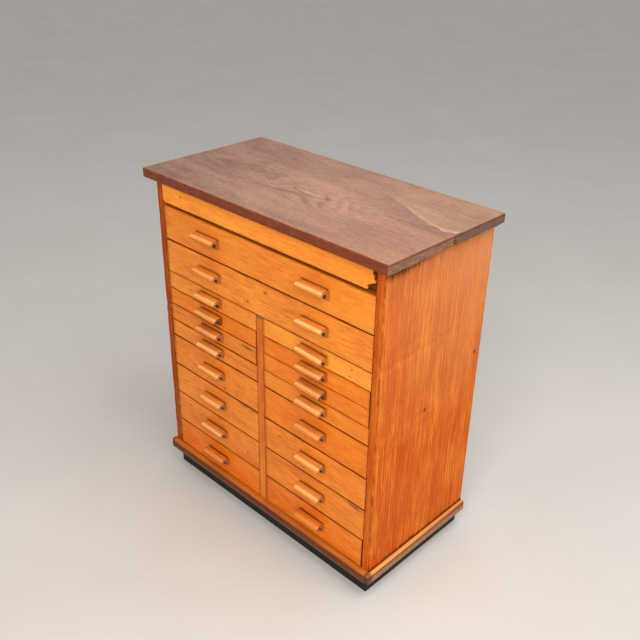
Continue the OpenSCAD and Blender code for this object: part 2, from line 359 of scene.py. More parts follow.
def growth_rings(tree, wood, ring_mm, drift_mm, shift):
    """Late wood, from 0 to 1 across each ring. shift bends the rings in places, in rings."""
    slow = add(tree, "VectorMath", {0: wood, 1: per_mm(420, 70, 70)}, operation="MULTIPLY")
    drift = add(tree, "TexNoise", {"Vector": slow, "Scale": 1.0, "Detail": 3.0}, "Color")
    drift = add(tree, "VectorMath", {0: drift, 1: (0.5, 0.5, 0.5)}, operation="SUBTRACT")
    sway = drift_mm * MM
    drift = add(tree, "VectorMath", {0: drift, 1: (0, sway, sway)}, operation="MULTIPLY")
    bent = add(tree, "VectorMath", {0: wood, 1: drift}, operation="ADD")
    bent = add(tree, "VectorMath", {0: bent, 1: (0, 1, 1)}, operation="MULTIPLY")
    radius = add(tree, "VectorMath", {0: bent}, "Value", operation="LENGTH")
    rings = add(tree, "Math", {0: radius, 1: per_mm(ring_mm)[0], 2: shift}, operation="MULTIPLY_ADD")
    year = add(tree, "Math", {0: rings}, operation="FRACT")
    rise = add(
        tree, "MapRange", {"Value": year, "From Min": 0.2, "From Max": 0.85},
        interpolation_type="SMOOTHSTEP",
    )
    fall = add(
        tree, "MapRange", {"Value": year, "From Min": 0.88, "From Max": 1.0, "To Min": 1.0, "To Max": 0.0},
    )
    return add(tree, "Math", {0: rise, 1: fall}, operation="MULTIPLY")


def facing(tree, normal, direction):
    """1 where the surface looks along a direction, either way, and 0 where it runs along it."""
    turn = add(tree, "VectorMath", {0: normal, 1: direction}, "Value", operation="DOT_PRODUCT")
    return add(tree, "Math", {0: turn}, operation="ABSOLUTE")


def edge_distance(tree, notes):
    """How far a point lies from the nearest edge of the face that it is on."""
    inside = add(tree, "VectorMath", {0: notes["place"]}, operation="ABSOLUTE")
    inside = add(tree, "VectorMath", {0: notes["half"], 1: inside}, operation="SUBTRACT")
    outward = add(tree, "VectorMath", {0: notes["normal"]}, operation="ABSOLUTE")
    inside = add(tree, "VectorMath", {0: inside, 1: outward}, operation="ADD")
    parts = add(tree, "SeparateXYZ", {0: inside}).node.outputs
    nearer = add(tree, "Math", {0: parts[0], 1: parts[1]}, operation="MINIMUM")
    return add(tree, "Math", {0: nearer, 1: parts[2]}, operation="MINIMUM")


def mark_distance(tree, notes, mark, stretch):
    """How far a point lies from a mark on its board, with the mark drawn out along the grain."""
    gap = add(tree, "VectorMath", {0: notes["wood"], 1: notes[mark]}, operation="SUBTRACT")
    gap = add(tree, "VectorMath", {0: gap, 1: (1 / stretch, 0, 1)}, operation="MULTIPLY")
    return add(tree, "VectorMath", {0: gap}, "Value", operation="LENGTH")


# %% [markdown]
# ## Amber varnished pine
# The carcass, the drawer fronts and the pulls are pine under a thick amber varnish that has
# reddened with age. It gives the eye a warm, even orange with faint streaks, short dark flecks
# of resin, a few knots, darker end grain, and dirt wherever hands left it and along the edges;
# shade is painted into the gaps and round the pulls, and a highlight along each pull's nose. The
# varnish is a clear film, so it is a coat over a slightly rough wood. The finish is built in three
# layers, each with its own function: the clean wood, its marks, and what use has done to it with
# the painted shade and highlights.


# %% The clean wood
def clean_pine(tree, notes, knot):
    """Colour of the varnished wood without marks, and its relief."""
    wood = notes["wood"]
    red, light, figure = add(tree, "SeparateXYZ", {0: notes["tone"]}).node.outputs
    foot_red, top_grey, unused = add(tree, "SeparateXYZ", {0: notes["fade"]}).node.outputs

    # Rings bend round a knot and come and go along the board
    swirl = add(
        tree, "MapRange", {"Value": knot, "From Min": 0.0, "From Max": 5.0, "To Min": 2.2, "To Max": 0.0},
        interpolation_type="SMOOTHSTEP",
    )
    late = growth_rings(tree, wood, 6, 14, swirl)
    late = add(tree, "Math", {0: late, 1: grain_noise(tree, wood, 181, 25)}, operation="MULTIPLY")
    fibre = grain_noise(tree, wood, 157, 4, detail=4.0)
    band = grain_noise(tree, wood, 709, 24)
    mottle = grain_noise(tree, wood, 37, 5, detail=4.0)
    streak = grain_noise(tree, wood, 131, 2.4, 0.45, 0.7)
    cloud = grain_noise(tree, wood, 113, 40)
    share = add(tree, "Math", {0: late, 1: 0.35}, operation="MULTIPLY")
    share = add(tree, "Math", {0: fibre, 1: 0.4, 2: share}, operation="MULTIPLY_ADD")
    share = add(tree, "Math", {0: band, 1: 0.35, 2: share}, operation="MULTIPLY_ADD")
    share = add(tree, "Math", {0: streak, 1: 0.45, 2: share}, operation="MULTIPLY_ADD")
    share = add(tree, "Math", {0: share, 1: figure}, operation="MULTIPLY")
    share = add(tree, "Math", {0: mottle, 1: 0.38, 2: share}, operation="MULTIPLY_ADD")
    share = add(tree, "Math", {0: cloud, 1: 0.3, 2: share}, operation="MULTIPLY_ADD")
    share = add(tree, "Math", {0: grain_noise(tree, wood, 9, 1.8), 1: 0.22, 2: share}, operation="MULTIPLY_ADD")
    share = add(tree, "Math", {0: share, 1: 0.31}, operation="SUBTRACT", use_clamp=True)
    colour = add(
        tree, "Mix", {0: share, 6: linear("#f49425"), 7: linear("#c35811")}, out=2, data_type="RGBA",
    )

    # The colour is redder in clouds and towards the foot, and paler and greyer near the top and the back
    within = add(tree, "VectorMath", {0: notes["place"], 1: notes["half"]}, operation="DIVIDE")
    unused, depth, height = add(tree, "SeparateXYZ", {0: within}).node.outputs
    low_down = add(tree, "MapRange", {"Value": height, "From Min": -1.0, "From Max": 1.0, "To Min": 1.0, "To Max": 0.0})
    redder = add(tree, "Math", {0: low_down, 1: foot_red, 2: red}, operation="MULTIPLY_ADD")
    redder = add(tree, "Math", {0: cloud, 1: 0.15, 2: redder}, operation="MULTIPLY_ADD")
    hue = add(
        tree, "MapRange", {"Value": redder, "From Min": 0.08, "From Max": 1.08, "To Min": 0.503, "To Max": 0.484},
        clamp=False,
    )
    rich = add(
        tree, "MapRange", {"Value": redder, "From Min": 0.08, "From Max": 0.68, "To Min": 0.98, "To Max": 1.003},
        clamp=False,
    )
    colour = add(tree, "HueSaturation", {"Hue": hue, "Saturation": rich, "Value": light, "Color": colour})
    paler_grey_top = add(tree, "MapRange", {"Value": height, "From Min": -0.2, "From Max": 1.0})
    behind = add(tree, "MapRange", {"Value": depth, "From Min": -1.0, "From Max": 1.0, "To Min": 0.4, "To Max": 1.7})
    paler_grey_top = add(tree, "Math", {0: paler_grey_top, 1: behind}, operation="MULTIPLY")
    paler_grey_top = add(tree, "Math", {0: paler_grey_top, 1: top_grey}, operation="MULTIPLY")
    paler_grey_top = add(tree, "Math", {0: paler_grey_top, 1: facing(tree, notes["normal"], notes["face"])}, operation="MULTIPLY")
    colour = add(tree, "Mix", {0: paler_grey_top, 6: colour, 7: linear("#dc9a68")}, out=2, data_type="RGBA")
    relief = add(tree, "Math", {0: late, 1: 0.4, 2: fibre}, operation="MULTIPLY_ADD")
    return colour, relief


# %% Flecks, knots, scuffs and end grain
def pine_marks(tree, notes, knot, colour):
    """Lay the wood's own marks over a colour."""
    wood = notes["wood"]
    fleck = grain_noise(tree, wood, 14, 2.6, 0.7, 0.78, 0.0)
    crowd = grain_noise(tree, wood, 140, 45, 0.52, 0.64)
    fleck = add(tree, "Math", {0: fleck, 1: crowd}, operation="MULTIPLY")
    fleck = add(tree, "Math", {0: fleck, 1: 0.42}, operation="MULTIPLY")
    colour = add(tree, "Mix", {0: fleck, 6: colour, 7: linear("#8f4314")}, out=2, data_type="RGBA")
    halo = add(
        tree, "MapRange", {"Value": knot, "From Min": 0.8, "From Max": 3.0, "To Min": 0.4, "To Max": 0.0},
        interpolation_type="SMOOTHSTEP",
    )
    colour = add(tree, "Mix", {0: halo, 6: colour, 7: linear("#b8601c")}, out=2, data_type="RGBA")
    heart = add(tree, "MapRange", {"Value": knot, "From Min": 0.4, "From Max": 1.1, "To Min": 0.9, "To Max": 0.0})
    colour = add(tree, "Mix", {0: heart, 6: colour, 7: linear("#642c08")}, out=2, data_type="RGBA")

    # A scuff has torn the varnish along the grain
    scuff = mark_distance(tree, notes, "scuff", 6.0)
    scuff = add(
        tree, "MapRange", {"Value": scuff, "From Min": 2 * MM, "From Max": 6 * MM, "To Min": 1.0, "To Max": 0.0},
    )
    torn = grain_noise(tree, wood, 40, 4, 0.45, 0.55)
    scuff = add(tree, "Math", {0: scuff, 1: torn}, operation="MULTIPLY")
    colour = add(tree, "Mix", {0: scuff, 6: colour, 7: linear("#7a4a2a")}, out=2, data_type="RGBA")

    # End grain drinks more varnish and goes dark
    end = facing(tree, notes["normal"], notes["grain"])
    end = add(tree, "MapRange", {"Value": end, "From Min": 0.55, "From Max": 0.85, "To Min": 0.0, "To Max": 0.85})
    return add(tree, "Mix", {0: end, 6: colour, 7: linear("#b0733f")}, out=2, data_type="RGBA")


# %% Dirt, touch, painted shade and painted highlights
def pine_dirt_and_light(tree, notes, colour):
    """Lay dirt, dust, rubbed places, painted shade and painted highlights over a colour."""
    wood, normal = notes["wood"], notes["normal"]
    grime, ledge, edge = add(tree, "SeparateXYZ", {0: notes["wear_and_shade"]}).node.outputs
    soil_and_shade, rubbed_and_painted_light, unused = add(tree, "SeparateXYZ", {0: notes["touch_and_light"]}).node.outputs
    # One dark red-brown for dirt and for painted shade.
    dirt_and_shade_colour = linear("#742203")

    # The narrow faces in the gaps and the stiles are painted dark as shade, and dirt blots lie along every edge
    flat = facing(tree, normal, notes["face"])
    gap_and_stile_shade = add(tree, "MapRange", {"Value": flat, "From Min": 0.55, "From Max": 0.93, "To Min": 1.0, "To Max": 0.0})
    dirt = add(tree, "Math", {0: gap_and_stile_shade, 1: edge}, operation="MULTIPLY")
    rim = add(
        tree, "MapRange",
        {"Value": edge_distance(tree, notes), "From Min": 0.4 * MM, "From Max": 4.5 * MM, "To Min": 1.0, "To Max": 0.0},
        interpolation_type="SMOOTHSTEP",
    )
    rim = add(tree, "Math", {0: rim, 1: grain_noise(tree, wood, 40, 20, 0.38, 0.62)}, operation="MULTIPLY")
    rim = add(tree, "Math", {0: rim, 1: grime}, operation="MULTIPLY")
    dirt = add(tree, "Math", {0: dirt, 1: rim}, operation="MAXIMUM")

    # Fingers leave a soft mark round every pull, with a painted shadow round it too, and the left end of every front is
    # painted darker
    grip_x, grip_on, unused = add(tree, "SeparateXYZ", {0: notes["grip"]}).node.outputs
    side, through, height = add(tree, "SeparateXYZ", {0: notes["place"]}).node.outputs
    side = add(tree, "Math", {0: side}, operation="ABSOLUTE")
    side = add(tree, "Math", {0: side, 1: grip_x}, operation="SUBTRACT")
    side = add(tree, "Math", {0: side}, operation="ABSOLUTE")
    side = add(tree, "Math", {0: side, 1: PULL_L / 2}, operation="SUBTRACT")
    height = add(tree, "Math", {0: height, 1: 0.5 * MM}, operation="SUBTRACT")
    height = add(tree, "Math", {0: height}, operation="ABSOLUTE")
    height = add(tree, "Math", {0: height, 1: PULL_H / 2}, operation="SUBTRACT")
    reach = add(tree, "Math", {0: side, 1: height}, operation="MAXIMUM")
    smear_and_shadow = add(
        tree, "MapRange", {"Value": reach, "From Min": -2 * MM, "From Max": 6 * MM, "To Min": 0.55, "To Max": 0.0},
        interpolation_type="SMOOTHSTEP",
    )
    left_end = add(tree, "VectorMath", {0: notes["place"], 1: notes["half"]}, operation="ADD")
    left_end = add(tree, "SeparateXYZ", {0: left_end}).node.outputs[0]
    left_end_dark = add(
        tree, "MapRange", {"Value": left_end, "From Min": 0.0, "From Max": 11 * MM, "To Min": 0.5, "To Max": 0.0},
        interpolation_type="SMOOTHSTEP",
    )
    smear_and_shadow = add(tree, "Math", {0: smear_and_shadow, 1: left_end_dark}, operation="MAXIMUM")
    smear_and_shadow = add(tree, "Math", {0: smear_and_shadow, 1: grip_on}, operation="MULTIPLY")
    dirt = add(tree, "Math", {0: dirt, 1: smear_and_shadow}, operation="MAXIMUM")
    upward = add(tree, "SeparateXYZ", {0: normal}).node.outputs[2]
    dust = add(tree, "MapRange", {"Value": upward, "From Min": 0.6, "From Max": 0.9})
    dust = add(tree, "Math", {0: dust, 1: ledge}, operation="MULTIPLY")
    dirt = add(tree, "Math", {0: dirt, 1: dust}, operation="MAXIMUM")
    colour = add(tree, "Mix", {0: dirt, 6: colour, 7: dirt_and_shade_colour}, out=2, data_type="RGBA")
    # Rubbed places are pale, and so is the painted highlight along each pull's nose.
    colour = add(tree, "Mix", {0: rubbed_and_painted_light, 6: colour, 7: linear("#ffc47a")}, out=2, data_type="RGBA")
    # The last mix paints the pull's cove, seam and lip underside dark: partly dirt, partly painted shade.
    return add(tree, "Mix", {0: soil_and_shade, 6: colour, 7: linear("#3d1c0b")}, out=2, data_type="RGBA")


def side_fringe(tree, notes, colour):
    """Grey dirt that hangs from the top of a panel in streaks, and specks along its foot."""
    top_length, foot_length, end_y = add(tree, "SeparateXYZ", {0: notes["fringe"]}).node.outputs
    unused, along, height = add(tree, "SeparateXYZ", {0: notes["place"]}).node.outputs
    half_height = add(tree, "SeparateXYZ", {0: notes["half"]}).node.outputs[2]
    streak = grain_noise(tree, notes["wood"], 70, 1.7, 0.35, 0.65)
    outward = facing(tree, notes["normal"], notes["face"])
    outward = add(tree, "MapRange", {"Value": outward, "From Min": 0.3, "From Max": 0.6})
    behind = add(tree, "Math", {0: along, 1: end_y}, operation="SUBTRACT")
    strong = add(
        tree, "MapRange", {"Value": behind, "From Min": -90 * MM, "From Max": 15 * MM, "To Min": 1.0, "To Max": 0.25},
    )
    reach = add(tree, "Math", {0: streak, 1: 0.55, 2: 0.5}, operation="MULTIPLY_ADD")
    reach = add(tree, "Math", {0: reach, 1: strong}, operation="MULTIPLY")
    down = add(tree, "Math", {0: half_height, 1: height}, operation="SUBTRACT")
    down = add(tree, "Math", {0: down, 1: top_length}, operation="DIVIDE")
    hang = add(tree, "Math", {0: reach, 1: down}, operation="SUBTRACT")
    hang = add(tree, "MapRange", {"Value": hang, "From Min": -0.2, "From Max": 0.25})
    lift = add(tree, "Math", {0: half_height, 1: height}, operation="ADD")
    lift = add(tree, "Math", {0: lift, 1: foot_length}, operation="DIVIDE")
    specks = add(tree, "Math", {0: streak, 1: lift}, operation="SUBTRACT")
    specks = add(tree, "MapRange", {"Value": specks, "From Min": 0.0, "From Max": 0.3})
    dirt = add(tree, "Math", {0: hang, 1: specks}, operation="MAXIMUM")
    dirt = add(tree, "Math", {0: dirt, 1: outward}, operation="MULTIPLY")
    dirt = add(tree, "Math", {0: dirt, 1: 0.88}, operation="MULTIPLY")
    colour = add(tree, "Mix", {0: dirt, 6: colour, 7: linear("#4a2d17")}, out=2, data_type="RGBA")

    # The front corner has lost its varnish in nicks
    half_depth = add(tree, "SeparateXYZ", {0: notes["half"]}).node.outputs[1]
    corner = add(tree, "Math", {0: half_depth, 1: along}, operation="ADD")
    nick = add(
        tree, "MapRange", {"Value": corner, "From Min": 0.8 * MM, "From Max": 2.6 * MM, "To Min": 0.85, "To Max": 0.0},
    )
    nick = add(tree, "Math", {0: nick, 1: outward}, operation="MULTIPLY")
    nick = add(tree, "Math", {0: nick, 1: grain_noise(tree, notes["wood"], 30, 20, 0.36, 0.5)}, operation="MULTIPLY")
    colour = add(tree, "Mix", {0: nick, 6: colour, 7: linear("#6b3212")}, out=2, data_type="RGBA")
    bare = add(
        tree, "MapRange", {"Value": corner, "From Min": 1.2 * MM, "From Max": 2 * MM, "To Min": 0.8, "To Max": 0.0},
    )
    bare = add(tree, "Math", {0: bare, 1: grain_noise(tree, notes["wood"], 17, 9, 0.57, 0.66)}, operation="MULTIPLY")
    bare = add(tree, "Math", {0: bare, 1: outward}, operation="MULTIPLY")
    return add(tree, "Mix", {0: bare, 6: colour, 7: linear("#d99a5c")}, out=2, data_type="RGBA")


# %% Put the layers together
def varnished_pine(name, layers, gloss):
    """Pine under old amber varnish, with the layers of wear, painted shade and painted highlights, and the gloss that a
    piece has.
    """
    material, tree = start_material(name)
    notes = board_notes(tree)
    knot_r = add(tree, "SeparateXYZ", {0: notes["touch_and_light"]}).node.outputs[2]
    knot = add(
        tree, "Math",
        {0: mark_distance(tree, notes, "knot_a", 1.6), 1: mark_distance(tree, notes, "knot_b", 1.6)},
        operation="MINIMUM",
    )
    knot = add(tree, "Math", {0: knot, 1: knot_r}, operation="DIVIDE")
    colour, relief = clean_pine(tree, notes, knot)
    colour = pine_marks(tree, notes, knot, colour)
    for layer in layers:
        colour = layer(tree, notes, colour)
    rough = add(tree, "MapRange", {"Value": relief, "From Min": 0.0, "From Max": 1.2, "To Min": 0.36, "To Max": 0.5})
    bump = add(tree, "Bump", {"Strength": 0.25, "Distance": 0.25 * MM, "Height": relief})
    surface = add(tree, "BsdfPrincipled", {
        "Base Color": colour, "Roughness": rough, "Normal": bump, "IOR": 1.5,
        "Specular IOR Level": 0.1 * gloss, "Coat Weight": 0.12 * gloss, "Coat Roughness": 0.2,
    })
    add(tree, "OutputMaterial", {"Surface": surface})
    return material


# %% [markdown]
# ## Bare wood, paint and steel
# Inside, the runners and the drawer boxes are bare planed pine and the thin panels are plywood.
# The plinth is painted matt black. The screws and nails are plain steel.


# %% Bare wood, paint and steel
def plain_wood(name, early, late, ring_mm, ring_share):
    """Bare wood with rings and streaks and without marks."""
    material, tree = start_material(name)
    notes = board_notes(tree)
    rings = growth_rings(tree, notes["wood"], ring_mm, 30, 0.0)
    rings = add(tree, "Math", {0: rings, 1: grain_noise(tree, notes["wood"], 220, 30)}, operation="MULTIPLY")
    fibre = grain_noise(tree, notes["wood"], 60, 2.5, detail=4.0)
    share = add(tree, "Math", {0: rings, 1: ring_share}, operation="MULTIPLY")
    share = add(tree, "Math", {0: fibre, 1: 0.4, 2: share}, operation="MULTIPLY_ADD")
    share = add(tree, "Math", {0: grain_noise(tree, notes["wood"], 200, 60), 1: 0.3, 2: share}, operation="MULTIPLY_ADD")
    colour = add(tree, "Mix", {0: share, 6: linear(early), 7: linear(late)}, out=2, data_type="RGBA")
    end = facing(tree, notes["normal"], notes["grain"])
    end = add(tree, "MapRange", {"Value": end, "From Min": 0.6, "From Max": 0.9, "To Min": 0.0, "To Max": 0.45})
    colour = add(tree, "Mix", {0: end, 6: colour, 7: linear(late)}, out=2, data_type="RGBA")
    rim = add(
        tree, "MapRange",
        {"Value": edge_distance(tree, notes), "From Min": 0.3 * MM, "From Max": 3 * MM, "To Min": 0.35, "To Max": 0.0},
    )
    colour = add(tree, "Mix", {0: rim, 6: colour, 7: linear("#4a2a14")}, out=2, data_type="RGBA")
    bump = add(tree, "Bump", {"Strength": 0.3, "Distance": 0.2 * MM, "Height": fibre})
    surface = add(tree, "BsdfPrincipled", {
        "Base Color": colour, "Roughness": 0.62, "Normal": bump, "IOR": 1.5,
    })
    add(tree, "OutputMaterial", {"Surface": surface})
    return material


def black_paint():
    """Matt black brush paint, slightly dusty."""
    material, tree = start_material("matt black paint")
    where = add(tree, "TexCoord", out="Object")
    long = add(tree, "VectorMath", {0: where, 1: per_mm(90, 90, 5)}, operation="MULTIPLY")
    brush = add(tree, "TexNoise", {"Vector": long, "Scale": 1.0, "Detail": 3.0})
    colour = add(
        tree, "Mix", {0: brush, 6: linear("#09090a"), 7: linear("#191817")}, out=2, data_type="RGBA",
    )
    bump = add(tree, "Bump", {"Strength": 0.2, "Distance": 0.2 * MM, "Height": brush})
    surface = add(tree, "BsdfPrincipled", {
        "Base Color": colour, "Roughness": 0.55, "Normal": bump, "Specular IOR Level": 0.3,
    })
    add(tree, "OutputMaterial", {"Surface": surface})
    return material


def steel():
    """Bright drawn steel with a few dull spots."""
    material, tree = start_material("bright steel")
    where = add(tree, "TexCoord", out="Object")
    spots = add(tree, "TexNoise", {"Vector": where, "Scale": per_mm(1.5)[0], "Detail": 2.0})
    rough = add(tree, "MapRange", {"Value": spots, "To Min": 0.25, "To Max": 0.55})
    colour = add(
        tree, "Mix", {0: spots, 6: linear("#a3a3a6"), 7: linear("#7d7a76")}, out=2, data_type="RGBA",
    )
    surface = add(tree, "BsdfPrincipled", {"Base Color": colour, "Metallic": 1.0, "Roughness": rough})
    add(tree, "OutputMaterial", {"Surface": surface})
    return material


# %% [markdown]
# ## The brown base board
# The base board is pine under a brown stain. Its front is dark, its upper edge has been rubbed
# back to orange by brooms and feet, with a painted highlight along it at both ends and dirt and
# painted shade next to the panels, and its sawn ends are tan, with the ribs of open end grain.
# The surface's own direction and the height on the board tell these places apart.


# %% Brown stained pine
def stained_pine():
    """Stained base board with a rubbed upper edge, painted highlight and shade at its ends, and tan ends."""
    material, tree = start_material("brown stained pine")
    notes = board_notes(tree)
    fibre = grain_noise(tree, notes["wood"], 130, 4, detail=4.0)
    cloud = grain_noise(tree, notes["wood"], 80, 30)
    share = add(tree, "Math", {0: cloud, 1: 0.4}, operation="MULTIPLY")
    share = add(tree, "Math", {0: fibre, 1: 0.6, 2: share}, operation="MULTIPLY_ADD")
    colour = add(tree, "Mix", {0: share, 6: linear("#7d3d16"), 7: linear("#4d200a")}, out=2, data_type="RGBA")
    rubbed_and_painted_light = add(tree, "Mix", {0: share, 6: linear("#d67c2e"), 7: linear("#a14d17")}, out=2, data_type="RGBA")
    upward = add(tree, "SeparateXYZ", {0: notes["normal"]}).node.outputs[2]
    upward = add(tree, "MapRange", {"Value": upward, "From Min": 0.3, "From Max": 0.75})
    end = facing(tree, notes["normal"], notes["grain"])
    end = add(tree, "MapRange", {"Value": end, "From Min": 0.5, "From Max": 0.8})

    # Ribs of end grain, 4 mm apart along the end
    rib = add(tree, "VectorMath", {0: notes["place"], 1: per_mm(0, 4, 45)}, operation="MULTIPLY")
    rib = add(tree, "TexNoise", {"Vector": rib, "Scale": 1.0, "Detail": 2.0})
    rib = add(tree, "MapRange", {"Value": rib, "From Min": 0.35, "From Max": 0.65})
    tan = add(tree, "Mix", {0: rib, 6: linear("#b67f57"), 7: linear("#825335")}, out=2, data_type="RGBA")
    colour = add(tree, "Mix", {0: end, 6: colour, 7: tan}, out=2, data_type="RGBA")

    # Both ends are rubbed along the upper edge and carry a painted highlight there; between that edge and the panel lie
    # dirt and painted shade
    from_end = add(tree, "VectorMath", {0: notes["place"]}, operation="ABSOLUTE")
    from_end = add(tree, "VectorMath", {0: notes["half"], 1: from_end}, operation="SUBTRACT")
    from_end = add(tree, "SeparateXYZ", {0: from_end}).node.outputs[0]
    from_front = add(tree, "VectorMath", {0: notes["half"], 1: notes["place"]}, operation="ADD")
    from_front = add(tree, "SeparateXYZ", {0: from_front}).node.outputs[1]
    edge_highlight = add(
        tree, "MapRange", {"Value": from_end, "From Min": 6 * MM, "From Max": 8 * MM, "To Min": 0.75, "To Max": 0.0},
    )
    rubbed_and_painted_light = add(tree, "Mix", {0: edge_highlight, 6: rubbed_and_painted_light, 7: linear("#eda45c")}, out=2, data_type="RGBA")
    # Dirt and painted shade in the corner next to the panel.
    inner = add(
        tree, "MapRange", {"Value": from_end, "From Min": 6.5 * MM, "From Max": 8.5 * MM, "To Min": 0.0, "To Max": 0.85},
    )
    behind = add(tree, "MapRange", {"Value": from_front, "From Min": 11 * MM, "From Max": 14 * MM})
    inner = add(tree, "Math", {0: inner, 1: behind}, operation="MULTIPLY")
    rubbed_and_painted_light = add(tree, "Mix", {0: inner, 6: rubbed_and_painted_light, 7: linear("#3f1c0a")}, out=2, data_type="RGBA")
    colour = add(tree, "Mix", {0: upward, 6: colour, 7: rubbed_and_painted_light}, out=2, data_type="RGBA")

    # The groove under the upper edge of both ends is painted dark
    height = add(tree, "SeparateXYZ", {0: notes["place"]}).node.outputs[2]
    groove = add(tree, "Math", {0: height, 1: GROOVE_Z}, operation="SUBTRACT")
    groove = add(tree, "Math", {0: groove}, operation="ABSOLUTE")
    groove = add(
        tree, "MapRange", {"Value": groove, "From Min": 1.6 * MM, "From Max": 3 * MM, "To Min": 0.95, "To Max": 0.0},
    )
    groove = add(tree, "Math", {0: groove, 1: end}, operation="MULTIPLY")
    colour = add(tree, "Mix", {0: groove, 6: colour, 7: linear("#4a1f0c")}, out=2, data_type="RGBA")
    foot = add(
        tree, "MapRange", {"Value": height, "From Min": -10.5 * MM, "From Max": -7 * MM, "To Min": 0.45, "To Max": 0.0},
    )
    colour = add(tree, "Mix", {0: foot, 6: colour, 7: linear("#a27a58")}, out=2, data_type="RGBA")
    knocked = add(
        tree, "MapRange", {"Value": from_front, "From Min": 9 * MM, "From Max": 19 * MM, "To Min": 0.75, "To Max": 0.0},
    )
    by_end = add(
        tree, "MapRange", {"Value": from_end, "From Min": 9 * MM, "From Max": 14 * MM, "To Min": 1.0, "To Max": 0.0},
    )
    knocked = add(tree, "Math", {0: knocked, 1: by_end}, operation="MULTIPLY")
    colour = add(tree, "Mix", {0: knocked, 6: colour, 7: linear("#4d2611")}, out=2, data_type="RGBA")
    bump = add(tree, "Bump", {"Strength": 0.3, "Distance": 0.25 * MM, "Height": fibre})
    surface = add(tree, "BsdfPrincipled", {
        "Base Color": colour, "Roughness": 0.48, "Normal": bump, "IOR": 1.5,
        "Specular IOR Level": 0.15,
    })
    add(tree, "OutputMaterial", {"Surface": surface})
    return material


# %% [markdown]
# ## The dark top
# The slab is an old hardwood board, oiled rather than varnished: a reddish brown that has greyed
# a little, with soft bands, short dark pores and an eye of curled grain near its middle. At the
# back right a tan corner of sapwood begins at a pale feathered line. Its long edges are dark red,
# and its sawn ends are grey-brown end grain. The line of the sapwood is a formula in the slab's
# own millimetres: a straight slope that turns back sharply near its right end.


# %% Oiled dark hardwood
def sapwood(tree, wood, x, y):
    """Distance past the line where the sapwood begins, in metres, and how clearly it shows."""
    rise = add(tree, "Math", {0: x, 1: 346 * MM}, operation="SUBTRACT")
    rise = add(tree, "Math", {0: rise, 1: per_mm(16.6)[0]}, operation="MULTIPLY")
    rise = add(tree, "Math", {0: math.e, 1: rise}, operation="POWER")
    line = add(tree, "Math", {0: x, 1: -0.412, 2: 145.3 * MM}, operation="MULTIPLY_ADD")
    line = add(tree, "Math", {0: rise, 1: 33 * MM, 2: line}, operation="MULTIPLY_ADD")
    past = add(tree, "Math", {0: y, 1: line}, operation="SUBTRACT")
    wander = grain_noise(tree, wood, 34, 14)
    past = add(tree, "Math", {0: wander, 1: 9 * MM, 2: past}, operation="MULTIPLY_ADD")
    shows = add(
        tree, "MapRange", {"Value": x, "From Min": 110 * MM, "From Max": 190 * MM},
        interpolation_type="SMOOTHSTEP",
    )
    return past, shows


